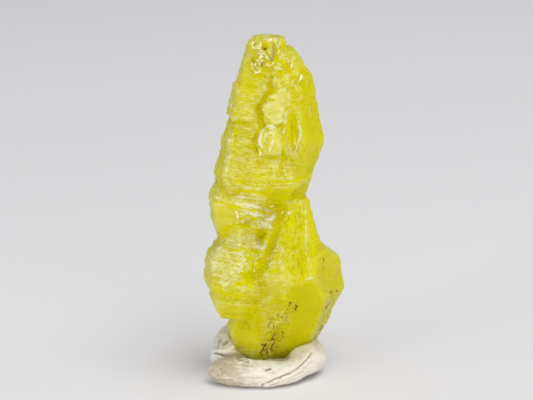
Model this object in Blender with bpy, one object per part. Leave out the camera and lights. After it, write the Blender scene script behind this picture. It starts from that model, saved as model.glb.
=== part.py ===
"""A native sulfur crystal that stands in a coil of white mounting putty.

The crystal is a stack of sulfur individuals grown together in nearly one orientation. Each is a steep
double pyramid cleaved from a block by flat faces, and ledges, plates, grooves and small crystals
follow its front. The putty is a rolled snake curled round the crystal's foot. The object stands on
z = 0, its striated side faces -Y and +X is to its right. The origin is the middle of its footprint.
Lengths are in millimetres until a mesh is made, which turns them into metres.
"""

import math
import random

import bmesh
import bpy
from mathutils import Euler, Matrix, Vector, noise

MM = 0.001

# Driving dimensions, in millimetres.
TIP_HEIGHT = 45.4  # the blunt top of the tallest individual above the table
SOCKET_GAP = 0.35  # clear space between the crystal and the putty
ROLL_RADIUS = 1.82  # half the height of the putty roll, before it was pressed down
ROLL_SPREAD = 1.25  # the roll is this much wider than it is tall
ROLL_RISE = 0.85  # how high its centre line lies, in radii: under 1, so it is pressed flat underneath

# Every individual shares these face directions, in degrees round the upright axis.
# 0 faces -Y, 90 faces +X.
FRONT, RIGHT_FRONT, RIGHT, BACK_RIGHT = 14, 53, 104, 155
BACK, BACK_LEFT, LEFT, LEFT_FRONT = 194, 233, 284, 335
RING = (FRONT, RIGHT_FRONT, RIGHT, BACK_RIGHT, BACK, BACK_LEFT, LEFT, LEFT_FRONT)
PYRAMID = (RIGHT_FRONT, BACK_RIGHT, BACK_LEFT, LEFT_FRONT)
SHOULDER_SLOPE = 45  # the blunt end faces, in degrees above the horizon
GIRDLE_FIT = 0.97  # brings the corners of the eight-sided girdle back to the stated width
GIRDLE_BAND = 0.5  # half the height of the upright faces round the girdle

BLOCK_SIZE = 140.0  # the cube that every block is cleaved from
NO_MERGE = 1e-6
SHORTEST_EDGE = 0.01  # corners closer together than this are one corner

# The large facets of the foot, each (azimuth, incline, point on it).
SMOOTH_FACET = (17, -25, (4.9, -5.7, 14.5))
SPECKLED_FACET = (-4, -16, (3.0, -4.7, 11.2))
RIGHT_UNDERSIDE = (66, -25, (7.9, -3.4, 11.0))
BELT_FACET = (-25, 18, (3.3, -5.5, 13.0))
WING_FACET = (60, 5, (6.4, -4.9, 13.9))
WING_SIDE = (RIGHT, 14, (10.3, 1.2, 12.2))
WING_UNDERSIDE = (RIGHT, -22, (10.8, 1.2, 12.0))
WING_SHOULDER = (RIGHT, 50, (9.0, 0.0, 16.3))

# name: middle of the girdle, half width and depth, reach down and up, lowest and highest level.
INDIVIDUALS = {
    "main_blade": dict(
        centre=(-0.45, 0.1, 26.8), half=(6.15, 5.1), reach=(8.5, 26.3), ends=(22.5, TIP_HEIGHT),
        blunt=(0.5, 0.22), band=0.25, turn=(1.0, 0.0, 1.5),
    ),
    "right_blade": dict(
        centre=(1.3, 0.35, 31.9), half=(6.0, 4.5), reach=(18.5, 28.5), ends=(20.0, 43.9),
        blunt=(0.6, 0.36), turn=(-0.5, 0.6, 0.0), facets=[(RIGHT, 33, (4.7, 0.0, 42.1))],
    ),
    "tip": dict(
        centre=(0.25, -0.2, 40.0), half=(2.65, 2.3), reach=(7.0, 22.0), ends=(36.5, TIP_HEIGHT + 0.1),
        blunt=(0.5, 0.8), turn=(0.0, 1.5, -3.0),
    ),
    "back_blade": dict(
        centre=(0.3, 1.5, 21.5), half=(5.0, 4.3), reach=(24.0, 27.0), ends=(9.0, 38.0), blunt=(0.5, 0.3),
        turn=(0.6, -0.8, 3.0),
    ),
    "left_shoulder": dict(
        centre=(-3.2, 0.1, 23.9), half=(4.2, 4.7), reach=(19.0, 10.6), ends=(16.5, 27.0), blunt=(0.6, 0.5),
        turn=(0.5, 0.0, -2.0),
    ),
    "column": dict(
        centre=(2.75, -1.3, 14.5), half=(5.2, 4.7), reach=(12.0, 14.8), ends=(11.5, 24.6), blunt=(0.8, 0.3),
        turn=(-2.0, 5.0, 0.0), facets=[SMOOTH_FACET, (60, 10, (7.15, -4.5, 14.2))],
    ),
    "left_lobe": dict(
        centre=(-3.1, -0.5, 14.4), half=(4.85, 4.6), reach=(15.5, 8.9), ends=(8.3, 20.2), blunt=(0.85, 0.4),
        band=1.4, turn=(0.0, 0.0, 1.0),
    ),
    "base": dict(
        centre=(3.0, -0.6, 12.3), half=(8.6, 7.0), reach=(26.0, 27.0), ends=(1.6, 17.4), blunt=(0.3, 0.7),
        facets=[
            SMOOTH_FACET, SPECKLED_FACET, RIGHT_UNDERSIDE, BELT_FACET, WING_FACET,
            WING_SIDE, WING_UNDERSIDE, WING_SHOULDER,
            (LEFT, -20, (-4.6, 0.0, 12.0)), (BACK, -17, (0.0, 5.0, 12.0)),
            (BACK_LEFT, -16, (-4.0, 3.6, 12.0)),
        ],
    ),
    "foot": dict(
        centre=(-1.3, 0.4, 5.8), half=(3.9, 3.3), reach=(12.0, 20.0), ends=(1.2, 10.5), blunt=(0.35, 0.7),
        turn=(0.0, 2.0, 2.0),
    ),
}

# Growth ledges: the host's outline again, a little larger, between two levels. Each is
# (host, lowest level, highest level, how far it stands proud, where it ends on the right).
LEDGES = [
    ("main_blade", 34.9, 39.4, 0.46, -1.3),
    ("main_blade", 39.5, 42.2, 0.14, -0.8),
    ("main_blade", 31.8, 33.1, 0.20, -1.2),
    ("main_blade", 27.4, 29.4, 0.16, -0.6),
    ("left_shoulder", 20.6, 22.3, 0.16, -1.4),
    ("left_lobe", 16.8, 17.6, 0.14, 0.0),
    ("left_lobe", 9.6, 10.9, 0.20, -1.5),
    ("column", 17.4, 19.6, 0.14, 2.6),
    ("base", 6.1, 7.4, 0.10, -2.4),
    ("base", 15.0, 16.0, 0.12, 6.4),
    ("right_blade", 24.6, 27.1, 0.06, 2.2),
    ("right_blade", 38.2, 40.3, 0.16, 1.6),
]
STRIAE = [("main_blade", 27.6, 42.4, 11), ("left_shoulder", 19.5, 23.4, 3), ("left_lobe", 12.0, 19.0, 3)]
STRIA_PROUD = (0.06, 0.13)  # least and most
STRIA_HEIGHT = (0.35, 1.0)
LEDGE_END = 20  # the azimuth of the face that ends a ledge
CAP_TILT = 6  # how far a ledge's top and bottom tilt, at most, in degrees

# Plates that stand proud of the front: name, how proud, and the outline as (x, z).
PLATES = {
    "middle_plate": (0.45, [
        (-0.4, 34.7), (-0.8, 35.7), (-0.7, 36.7), (-0.1, 37.5), (0.2, 38.4), (1.2, 38.9), (2.3, 38.7),
        (2.9, 37.6), (2.9, 36.2), (2.6, 35.0), (1.6, 34.7), (0.6, 34.4),
    ]),
    "upper_plate": (0.30, [
        (0.9, 38.5), (1.1, 39.7), (1.8, 40.7), (2.9, 41.0), (3.5, 40.1), (3.7, 38.8), (3.3, 37.6),
        (2.0, 37.9),
    ]),
    "oval_boss": (0.50, [
        (-1.1, 31.8), (-1.2, 32.9), (-0.6, 33.8), (0.4, 34.3), (1.5, 34.2), (2.1, 33.3), (2.2, 32.2),
        (1.8, 31.1), (0.9, 30.6), (-0.4, 30.8),
    ]),
    "lower_plate": (0.35, [
        (-0.5, 30.3), (-0.9, 29.2), (-0.6, 28.2), (0.2, 27.6), (1.2, 27.5), (1.8, 28.4), (2.0, 29.7),
        (1.2, 30.4),
    ]),
    "left_slot_wall": (0.40, [
        (2.5, 31.2), (2.3, 32.9), (2.5, 34.6), (2.8, 36.1), (3.3, 36.8), (3.4, 34.8), (3.3, 33.0),
        (3.1, 31.6),
    ]),
    "right_slot_wall": (0.35, [
        (3.8, 31.4), (3.8, 33.4), (3.7, 35.4), (3.5, 36.9), (4.2, 37.3), (4.8, 35.4), (4.9, 33.0),
        (4.5, 31.6),
    ]),
}
PLATE_STEPS = 3  # points added along each side of a plate's outline
PLATE_PROFILE = ((1.0, -2.0), (1.0, 0.35), (0.86, 0.95), (0.45, 1.05))  # size and lift, from foot to crown
PLATE_WOBBLE = 0.3  # how uneven an outline is
PLATE_WAVE = 0.8  # how often it wavers, in waves a millimetre

# Grooves and pockets along the front: how deep, and stations as (x, z, half width).
GROOVES = {
    "wavy_groove": (0.55, [
        (0.5, 41.0, 0.25), (0.3, 40.0, 0.35), (0.6, 39.1, 0.45), (0.0, 38.4, 0.3), (-0.5, 37.6, 0.35),
        (-0.9, 36.6, 0.5), (-0.7, 35.6, 0.5), (-0.5, 34.9, 0.45), (-0.9, 34.1, 0.35), (-1.4, 33.3, 0.4),
        (-1.6, 32.4, 0.35), (-1.3, 31.5, 0.35), (-0.9, 30.8, 0.3), (-0.9, 30.2, 0.3), (-1.2, 29.3, 0.2),
    ]),
    "slot": (0.9, [
        (3.45, 31.0, 0.2), (3.5, 32.2, 0.3), (3.5, 33.4, 0.4), (3.45, 34.6, 0.42), (3.4, 35.6, 0.35),
        (3.3, 36.4, 0.2),
    ]),
    "trough": (0.45, [
        (1.9, 24.2, 0.3), (1.5, 22.2, 0.4), (1.1, 20.2, 0.5), (0.5, 18.2, 0.5), (-0.2, 16.4, 0.5),
        (-1.0, 15.2, 0.6), (-1.7, 14.4, 0.55), (-2.4, 13.7, 0.3),
    ]),
    "step_line": (0.22, [
        (2.4, 33.2, 0.12), (2.15, 32.4, 0.16), (2.2, 31.3, 0.16), (2.1, 30.2, 0.16), (1.8, 29.0, 0.16),
        (1.9, 28.2, 0.12),
    ]),
    "under_pocket": (0.5, [(-2.9, 21.3, 0.2), (-2.3, 21.8, 0.4), (-1.6, 22.0, 0.2)]),
    "low_pocket": (0.4, [(-2.6, 20.5, 0.15), (-1.8, 20.6, 0.3), (-0.9, 20.5, 0.3), (-0.4, 20.3, 0.15)]),
    "tip_pit": (0.5, [(-0.5, 43.9, 0.2), (-0.2, 44.4, 0.4), (-0.2, 44.9, 0.2)]),
    "wing_groove": (0.3, [(7.2, 16.0, 0.12), (7.5, 15.0, 0.2), (7.6, 14.0, 0.12)]),
}
GROOVE_STEPS = 2  # rings between each two stations
GROOVE_SIDES = 8
GROOVE_FLARE = 1.4  # how much wider a groove opens than its stated half width
GROOVE_PROUD = 0.15  # how far a groove's cutter stands out of the surface, so that it opens

# Small crystals on the front and at the tip: (x, z, length, width, lean to the right in degrees).
CRYSTALLETS = [
    (0.5, 43.9, 1.9, 0.75, 4), (-1.5, 44.7, 1.3, 0.6, -25), (-0.6, 43.3, 1.1, 0.6, 60),
    (-1.0, 42.6, 1.2, 0.7, 15), (-1.8, 42.0, 1.1, 0.5, -35), (-1.5, 40.9, 1.0, 0.5, 30),
    (-0.9, 44.9, 0.9, 0.5, 80), (1.4, 44.4, 1.1, 0.6, -20), (0.2, 42.4, 0.9, 0.5, 40),
    (0.6, 22.1, 1.2, 0.8, 70), (0.1, 21.0, 1.1, 0.7, 50), (-0.8, 22.6, 1.3, 0.7, 80),
    (-3.6, 21.8, 1.2, 0.5, 15), (-3.3, 20.6, 0.9, 0.6, 75),
]
CRYSTALLET_CORNERS = (10, 85, 190, 265)  # where a small crystal's four edges face
CRYSTALLET_TIP_BACK = math.radians(-12)
CRYSTALLET_PROUD = 0.22  # how far a small crystal's middle stands out, as a share of its width

# The putty snake's centre line: (x, y, size against the roll's own, how far it is lifted off the table).
SNAKE = [
    (-6.3, -3.1, 0.92, 0.0), (-5.2, -4.2, 1.02, 0.0), (-2.9, -4.9, 1.04, 0.0), (-0.2, -5.2, 1.02, 0.0),
    (2.1, -4.8, 0.92, 0.1), (3.9, -3.6, 0.82, 0.45), (5.2, -1.7, 0.95, 0.6), (5.5, 0.4, 1.12, 0.4),
    (4.7, 2.7, 1.25, 0.1), (2.8, 4.3, 1.35, 0.0), (0.4, 4.8, 1.5, 0.0), (-1.8, 4.4, 1.68, 0.0),
    (-3.3, 3.0, 1.75, 0.0), (-4.0, 1.4, 1.6, 0.0), (-4.9, -0.2, 1.3, 0.0), (-5.8, -1.6, 0.9, 0.0),
]
TAIL = [
    (-0.3, -6.6, 0.2, 0.0), (1.4, -6.0, 0.42, 0.1), (3.1, -4.8, 0.64, 0.35), (4.6, -3.5, 0.8, 0.6),
    (5.8, -1.9, 0.96, 0.65), (6.3, -0.4, 0.96, 0.5), (6.0, 1.0, 0.7, 0.2),
]
SNAKE_STEPS = 3  # rings of the putty between each two points of its line
PUTTY_SIDES = 16
PUTTY_PAD = (4.4, 4.2, 2.2)  # half width, half depth and height of the putty pressed in under the crystal
PUTTY_VOXEL = 0.55  # the size of the facets of the putty's skin


def clear_scene():
    for obj in list(bpy.data.objects):
        bpy.data.objects.remove(obj)


def facing(azimuth, incline):
    """The outward normal of a face that looks along azimuth and leans back by incline degrees."""
    a, i = math.radians(azimuth), math.radians(incline)
    return Vector((math.sin(a) * math.cos(i), -math.cos(a) * math.cos(i), math.sin(i)))


def cleave(bm, through, normal):
    """Takes off what lies outside one face, and closes the cut."""
    parts = bm.verts[:] + bm.edges[:] + bm.faces[:]
    cut = bmesh.ops.bisect_plane(
        bm, geom=parts, dist=NO_MERGE, plane_co=through, plane_no=normal, clear_outer=True
    )
    rim = [part for part in cut["geom_cut"] if isinstance(part, bmesh.types.BMEdge)]
    if rim:
        bmesh.ops.contextual_create(bm, geom=rim)


def block(faces, centre, grow=0.0):
    """A convex block inside all its faces, each a (point, normal) pair, moved out by grow."""
    bm = bmesh.new()
    bmesh.ops.create_cube(bm, size=BLOCK_SIZE, matrix=Matrix.Translation(centre))
    for through, normal in faces:
        cleave(bm, through + normal * grow, normal)
    bmesh.ops.remove_doubles(bm, verts=bm.verts, dist=SHORTEST_EDGE)
    bmesh.ops.recalc_face_normals(bm, faces=bm.faces)
    return bm


def crystal_faces(centre, half, reach, ends, blunt=(0.6, 0.6), band=GIRDLE_BAND, turn=(0, 0, 0), facets=()):
    """The faces of one individual: a steep double pyramid with eight sides, cut blunt at both ends.

    centre is the middle of its girdle, where it is widest, and half is its half width and half depth
    there. reach is how far below and above the girdle its sides would meet in a point, and ends
    are its lowest and highest levels. blunt is the share of each side's width at which a shoulder
    meets the end, and band is half the height of its upright faces. turn is how far it leans away
    from its neighbours, in degrees round X, Y and Z. A facet is (azimuth, incline, point on it),
    and isn't turned.
    """
    faces = []
    for azimuth in RING:
        out = facing(azimuth, 0)
        width = math.hypot(half[0] * out.x, half[1] * out.y) * GIRDLE_FIT
        faces.append((out * width, out))
        for height, up in zip(reach, (-1, 1)):
            lean = math.degrees(math.atan2(width, height))
            faces.append((out * width + Vector((0, 0, up * band)), facing(azimuth, up * lean)))
        if azimuth in PYRAMID:
            for end, share, up in zip(ends, blunt, (-1, 1)):
                rim = out * width * share + Vector((0, 0, end - centre[2]))
                faces.append((rim, facing(azimuth, up * SHOULDER_SLOPE)))
    for end, up in zip(ends, (-1, 1)):
        faces.append((Vector((0, 0, end - centre[2])), Vector((0, 0, up))))
    turned = Euler([math.radians(angle) for angle in turn]).to_matrix()
    placed = [(Vector(centre) + turned @ through, turned @ normal) for through, normal in faces]
    for azimuth, incline, point in facets:
        placed.append((Vector(point), facing(azimuth, incline)))
    return placed


def individual(name, grow=0.0):
    shape = INDIVIDUALS[name]
    return block(crystal_faces(**shape), shape["centre"], grow)


def ledge(host, low, high, proud, right_end, dice):
    """A slab round its host, between two nearly level caps."""
    shape = INDIVIDUALS[host]
    centre = Vector(shape["centre"])
    faces = [(through + normal * proud, normal) for through, normal in crystal_faces(**shape)]
    for level, up in ((low, -1), (high, 1)):
        tilt = Euler([math.radians(dice.uniform(-CAP_TILT, CAP_TILT)) for _ in "xyz"]).to_matrix()
        faces.append((Vector((centre.x, centre.y, level)), tilt @ Vector((0, 0, up))))
    faces.append((Vector((right_end, front_at(right_end, (low + high) / 2), 0)), facing(LEDGE_END, 0)))
    return block(faces, centre)


def striae(dice):
    """Thin ledges at uneven levels, as (host, lowest level, highest level, proud, right end)."""
    thin = []
    for host, lowest, highest, count in STRIAE:
        for number in range(count):
            level = lowest + (highest - lowest) * (number + dice.uniform(0.1, 0.7)) / count
            top = level + dice.uniform(*STRIA_HEIGHT)
            thin.append((host, level, top, dice.uniform(*STRIA_PROUD), dice.uniform(-2.2, -0.4)))
    return thin


def front_at(x, z):
    """The y at which the individuals' front lies, at x across and z up."""
    nearest = 0.0
    for shape in INDIVIDUALS.values():
        enters, leaves = -BLOCK_SIZE, BLOCK_SIZE
        for through, normal in crystal_faces(**shape):
            level = normal.dot(through) - normal.x * x - normal.z * z
            if normal.y < -NO_MERGE:
                enters = max(enters, level / normal.y)
            elif normal.y > NO_MERGE:
                leaves = min(leaves, level / normal.y)
            elif level < 0:
                leaves = -BLOCK_SIZE
        if enters < leaves:
            nearest = min(nearest, enters)
    return nearest


def smooth_through(points, steps, closed):
    """A smooth curve through the points, with steps pieces between each two (Catmull and Rom)."""
    points = [Vector(point) for point in points]
    count = len(points)
    curve = []
    for i in range(count if closed else count - 1):
        around = [i - 1, i, i + 1, i + 2]
        if closed:
            a, b, c, d = (points[k % count] for k in around)
        else:
            a, b, c, d = (points[min(max(k, 0), count - 1)] for k in around)
        for step in range(steps):
            t = step / steps
            linear = (c - a) * t
            square = (a * 2 - b * 5 + c * 4 - d) * t * t
            cube = (b * 3 - a - c * 3 + d) * t ** 3
            curve.append(b + (linear + square + cube) / 2)
    if not closed:
        curve.append(points[-1])
    return curve


def stack_of_rings(rings, tips=(None, None)):
    """A closed skin over rings of points, each end a fan round its tip."""
    bm = bmesh.new()
    rows = [[bm.verts.new(point) for point in ring] for ring in rings]
    count = len(rows[0])
    for row, following in zip(rows, rows[1:]):
        for i in range(count):
            j = (i + 1) % count
            bm.faces.new((row[i], row[j], following[j], following[i]))
    for row, tip in ((rows[0], tips[0]), (rows[-1], tips[1])):
        if tip is None:
            tip = sum((vert.co for vert in row), Vector()) / count
        middle = bm.verts.new(tip)
        for i in range(count):
            bm.faces.new((row[i], row[(i + 1) % count], middle))
    bmesh.ops.recalc_face_normals(bm, faces=bm.faces)
    bmesh.ops.triangulate(bm, faces=bm.faces)
    return bm


def plate(proud, outline):
    """A wavy plate that follows the front: a wall up to its rim, and a crown inside it."""
    outline = smooth_through([(x, 0, z) for x, z in outline], PLATE_STEPS, closed=True)
    middle = sum(outline, Vector()) / len(outline)
    rings = []
    for size, lift in PLATE_PROFILE:
        ring = []
        for point in outline:
            inner = middle.lerp(point, size * (1 + PLATE_WOBBLE * noise.noise(point * PLATE_WAVE)))
            ring.append(Vector((inner.x, front_at(inner.x, inner.z) - proud * lift, inner.z)))
        rings.append(ring)
    top = Vector((middle.x, front_at(middle.x, middle.z) - proud, middle.z))
    return stack_of_rings(rings, (None, top))


def tube(stations, sides, spread=1.0):
    """A tapered tube along stations, each (centre, radius), with its section upright and wide by spread."""
    rings = []
    for i, (centre, radius) in enumerate(stations):
        before = stations[max(i - 1, 0)][0]
        after = stations[min(i + 1, len(stations) - 1)][0]
        along = (after - before).normalized()
        across = along.cross(Vector((0, 0, 1))) if abs(along.z) < 0.9 else along.cross(Vector((0, 1, 0)))
        across.normalize()
        up = across.cross(along)
        ring = []
        for k in range(sides):
            angle = 2 * math.pi * k / sides
            ring.append(centre + across * math.cos(angle) * radius * spread + up * math.sin(angle) * radius)
        rings.append(ring)
    return rings


def groove(depth, stations):
    """A cutter along the front, round below and open above."""
    path = smooth_through([(x, half, z) for x, z, half in stations], GROOVE_STEPS, closed=False)
    rings = []
    for i, point in enumerate(path):
        before, after = path[max(i - 1, 0)], path[min(i + 1, len(path) - 1)]
        along = Vector((after.x - before.x, 0, after.z - before.z)).normalized()
        across = Vector((along.z, 0, -along.x))
        half = point.y
        deepest = depth * half / max(station[2] for station in stations) + GROOVE_PROUD
        middle = Vector((point.x, front_at(point.x, point.z) - GROOVE_PROUD, point.z))
        ring = []
        for k in range(GROOVE_SIDES):
            angle = math.pi * k / (GROOVE_SIDES - 1)
            sunk = Vector((0, deepest * math.sin(angle), 0))
            ring.append(middle + across * half * GROOVE_FLARE * math.cos(angle) + sunk)
        rings.append(ring)
    return stack_of_rings(rings)


def crystallet(x, z, length, width, lean):
    """A small double pyramid lying on the front."""
    centre = Vector((x, front_at(x, z) - width * CRYSTALLET_PROUD, z))
    turned = Euler((CRYSTALLET_TIP_BACK, math.radians(lean), x)).to_matrix()
    girdle = [centre + turned @ facing(azimuth, 0) * width / 2 for azimuth in CRYSTALLET_CORNERS]
    tips = [centre + turned @ Vector((0, 0, up * length / 2)) for up in (-1, 1)]
    return stack_of_rings([girdle], tips)


def mesh_object(name, bm, collection):
    """The mesh of bm, turned into metres, as an object."""
    mesh = bpy.data.meshes.new(name)
    bm.to_mesh(mesh)
    bm.free()
    mesh.transform(Matrix.Scale(MM, 4))
    made = bpy.data.objects.new(name, mesh)
    collection.objects.link(made)
    return made


def helpers(name):
    """A collection of shapes that only serve a Boolean."""
    made = bpy.data.collections.get(name) or bpy.data.collections.new(name)
    if made.name not in bpy.context.scene.collection.children:
        bpy.context.scene.collection.children.link(made)
    return made


def hidden(name, bm, collection):
    helper = mesh_object(name, bm, collection)
    helper.hide_render = True
    helper.display_type = "WIRE"
    return helper


def boolean(obj, operation, collection):
    modifier = obj.modifiers.new(operation.title(), "BOOLEAN")
    modifier.operation = operation
    modifier.operand_type = "COLLECTION"
    modifier.collection = collection
    modifier.solver = "EXACT"


def finish(name, colour, roughness):
    """A plain material: colour, roughness, no metal."""
    made = bpy.data.materials.new(name)
    made.use_nodes = True
    shader = made.node_tree.nodes["Principled BSDF"]
    shader.inputs["Base Color"].default_value = (*colour, 1)
    shader.inputs["Roughness"].default_value = roughness
    shader.inputs["Metallic"].default_value = 0
    return made


def sulfur_crystal():
    dice = random.Random(7)
    grown, worn = helpers("grown_together"), helpers("grooves")
    first, *others = INDIVIDUALS
    crystal = mesh_object("sulfur_crystal", individual(first), bpy.context.scene.collection)
    for name in others:
        hidden(name, individual(name), grown)
    for number, entry in enumerate(LEDGES + striae(dice)):
        hidden(f"ledge_{number}", ledge(*entry, dice), grown)
    for name, (proud, outline) in PLATES.items():
        hidden(name, plate(proud, outline), grown)
    for number, entry in enumerate(CRYSTALLETS):
        hidden(f"crystallet_{number}", crystallet(*entry), grown)
    for name, (depth, stations) in GROOVES.items():
        hidden(name, groove(depth, stations), worn)
    boolean(crystal, "UNION", grown)
    boolean(crystal, "DIFFERENCE", worn)
    crystal.data.materials.append(finish("sulfur", (0.58, 0.53, 0.02), 0.25))
    return crystal


def putty_stations(line):
    """Points along the snake, each at its height above the table, with the radius there."""
    stations = []
    for x, y, size, lift in smooth_through(line, SNAKE_STEPS, closed=False):
        stations.append((Vector((x, y, ROLL_RADIUS * ROLL_RISE * size + lift)), ROLL_RADIUS * size))
    return stations


def putty_pad():
    half_x, half_y, height = PUTTY_PAD
    bm = bmesh.new()
    squash = Matrix.Diagonal((half_x, half_y, height, 1))
    bmesh.ops.create_uvsphere(
        bm, u_segments=PUTTY_SIDES, v_segments=PUTTY_SIDES // 2, radius=1, matrix=squash
    )
    return bm


def mounting_putty():
    rolled, pressed = helpers("rolled_putty"), helpers("pressed_into_putty")
    snake = stack_of_rings(tube(putty_stations(SNAKE), PUTTY_SIDES, ROLL_SPREAD))
    putty = mesh_object("mounting_putty", snake, bpy.context.scene.collection)
    hidden("tail", stack_of_rings(tube(putty_stations(TAIL), PUTTY_SIDES)), rolled)
    hidden("pad", putty_pad(), rolled)
    boolean(putty, "UNION", rolled)
    skin = putty.modifiers.new("Skin", "REMESH")
    skin.mode = "VOXEL"
    skin.voxel_size = PUTTY_VOXEL * MM
    for name in ("foot", "base", "left_lobe"):
        hidden(f"socket_{name}", individual(name, SOCKET_GAP), pressed)
    table = bmesh.new()
    bmesh.ops.create_cube(table, size=BLOCK_SIZE, matrix=Matrix.Translation((0, 0, -BLOCK_SIZE / 2)))
    hidden("table", table, pressed)
    boolean(putty, "DIFFERENCE", pressed)
    putty.data.materials.append(finish("putty", (0.72, 0.69, 0.62), 0.6))
    return putty


def stand_on_origin(objects):
    """Hangs every object on one empty, which puts the middle of the footprint at the origin."""
    scene = bpy.context.scene
    shapes = bpy.context.evaluated_depsgraph_get()
    corners = []
    for obj in objects:
        placed = obj.evaluated_get(shapes)
        corners += [placed.matrix_world @ Vector(corner) for corner in placed.bound_box]
    middle = [(min(c[i] for c in corners) + max(c[i] for c in corners)) / 2 for i in (0, 1)]
    stand = bpy.data.objects.new("stand", None)
    scene.collection.objects.link(stand)
    for obj in scene.objects:
        if obj.type == "MESH":
            obj.parent = stand
    stand.location = (-middle[0], -middle[1], 0)


def main():
    clear_scene()
    stand_on_origin([sulfur_crystal(), mounting_putty()])


main()
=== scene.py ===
# %% [markdown]
# # A native sulfur crystal, stood up in mounting putty
#
# The object is a specimen as a collector keeps it: one translucent yellow crystal, grown in
# steps, and a snake of white putty curled round its foot to hold it upright.
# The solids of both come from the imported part. This lesson gives them their real surface:
# growth lines, plates, grooves and chips on the crystal, finger marks and creases on the
# putty, and the way that light goes into each of them.

# %% Load the solids
import math
import random

import bmesh
import bpy
import numpy as np
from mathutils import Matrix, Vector, noise
from mathutils.bvhtree import BVHTree


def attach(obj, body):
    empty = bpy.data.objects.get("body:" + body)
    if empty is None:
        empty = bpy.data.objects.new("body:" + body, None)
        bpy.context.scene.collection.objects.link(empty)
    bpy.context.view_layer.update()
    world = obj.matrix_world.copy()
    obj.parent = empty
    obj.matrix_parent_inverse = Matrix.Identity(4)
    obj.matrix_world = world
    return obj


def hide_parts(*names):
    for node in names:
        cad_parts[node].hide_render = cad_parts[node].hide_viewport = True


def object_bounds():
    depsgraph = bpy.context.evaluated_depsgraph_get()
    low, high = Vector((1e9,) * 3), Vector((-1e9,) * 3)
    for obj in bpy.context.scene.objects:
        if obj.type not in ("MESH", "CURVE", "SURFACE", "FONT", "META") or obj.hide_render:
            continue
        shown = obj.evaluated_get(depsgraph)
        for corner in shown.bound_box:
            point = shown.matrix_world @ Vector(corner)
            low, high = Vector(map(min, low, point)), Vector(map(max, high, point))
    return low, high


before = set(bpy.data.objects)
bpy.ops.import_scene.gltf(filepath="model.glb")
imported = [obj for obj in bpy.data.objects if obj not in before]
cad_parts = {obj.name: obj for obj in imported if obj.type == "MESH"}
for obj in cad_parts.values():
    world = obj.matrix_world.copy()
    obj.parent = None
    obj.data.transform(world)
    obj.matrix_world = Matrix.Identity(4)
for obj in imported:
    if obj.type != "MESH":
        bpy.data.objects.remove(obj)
cad_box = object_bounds()

MM = 0.001
BODY = "root"
print("solids:", ", ".join(sorted(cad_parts)))
print("size in mm:", [round(side / MM, 1) for side in cad_box[1] - cad_box[0]])

# %% [markdown]
# ## Where things are measured from
#
# The part's origin is the middle of its footprint, but a crystal is easier to describe from
# its own upright axis, in millimetres. AXIS says where the foot of that axis is. Every place
# on the specimen below is measured from there: x to the right, y away from us, z up.

# %% The specimen's own coordinates
AXIS = Vector((-1.036, -0.387, 0.0))


def to_frame(place):
    """A place on the specimen, in millimetres from its axis, as metres in the part's frame."""
    return (Vector(place) + AXIS) * MM


print("the axis stands at", [round(value, 3) for value in AXIS], "mm")

# %% [markdown]
# ## Camera
#
# A small specimen is shot with a long lens from a little above, so that upright lines stay
# nearly parallel. The camera comes first, because the front of the crystal is drawn as the
# camera sees it.

# %% A long lens from a little above
LENS = 150.0
CAMERA_DISTANCE = 289.0
CAMERA_ELEVATION = math.radians(16.0)
AIM = Vector((0.0, 0.0, 23.7))
TOWARDS_US = Vector((0, -math.cos(CAMERA_ELEVATION), math.sin(CAMERA_ELEVATION)))
CAMERA_UP = Vector((0, math.sin(CAMERA_ELEVATION), math.cos(CAMERA_ELEVATION)))
CAMERA_PLACE = AIM + TOWARDS_US * CAMERA_DISTANCE

camera = bpy.data.objects.new("camera", bpy.data.cameras.new("camera"))
bpy.context.scene.collection.objects.link(camera)
camera.location = to_frame(CAMERA_PLACE)
camera.rotation_euler = (-TOWARDS_US).to_track_quat("-Z", "Y").to_euler()
camera.data.lens = LENS
camera.data.clip_start = 0.01
bpy.context.scene.camera = camera
print("camera at", [round(value, 3) for value in camera.location])

# %% [markdown]
# ## A fine skin from a coarse solid
#
# The solids have flat facets a millimetre or so across. To carve growth lines we need points
# far closer than that. A voxel remesh lays an even net of small squares over any closed
# shape, whatever its triangles were. Subdividing the old triangles would have kept their
# long slivers. The voxel size is a balance: half of it quarters the faces.

# %% Remesh a copy of a solid
CRYSTAL_VOXEL = 0.165
PUTTY_VOXEL = 0.14


def fine_skin(node, name, voxel):
    """A new object: the node's shape as an even net of small faces."""
    made = bpy.data.objects.new(name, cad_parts[node].data.copy())
    bpy.context.scene.collection.objects.link(made)
    made.data.materials.clear()
    net = made.modifiers.new("net", "REMESH")
    net.mode = "VOXEL"
    net.voxel_size = voxel * MM
    shapes = bpy.context.evaluated_depsgraph_get()
    fine = bpy.data.meshes.new_from_object(made.evaluated_get(shapes))
    made.modifiers.clear()
    coarse, made.data = made.data, fine
    bpy.data.meshes.remove(coarse)
    fine.name = name
    print(f"{name}: {len(fine.vertices)} points, {2 * len(fine.polygons)} triangles")
    return made


crystal = fine_skin("sulfur_crystal", "sulfur_crystal_grown", CRYSTAL_VOXEL)
putty = fine_skin("mounting_putty", "mounting_putty_rolled", PUTTY_VOXEL)

# %% [markdown]
# ## Relief as arrays
#
# With a hundred thousand points, sums are done on whole NumPy arrays: one row of x, y, z for
# each point. Net keeps the arrays of one mesh: where its points are, which way they face and
# which of them an edge joins. Averaging each point with its neighbours, again and again, is
# all that smoothing is, and the gap between a point and its smoothed place says how hollow
# or how proud the surface is there.

# %% The arrays of one mesh
LOWEST, HIGHEST = np.array(cad_box) / MM - np.array(AXIS)


def read_rows(items, name):
    """An attribute of three numbers, as rows."""
    flat = np.empty(len(items) * 3)
    items.foreach_get(name, flat)
    return flat.reshape(-1, 3)


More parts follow.
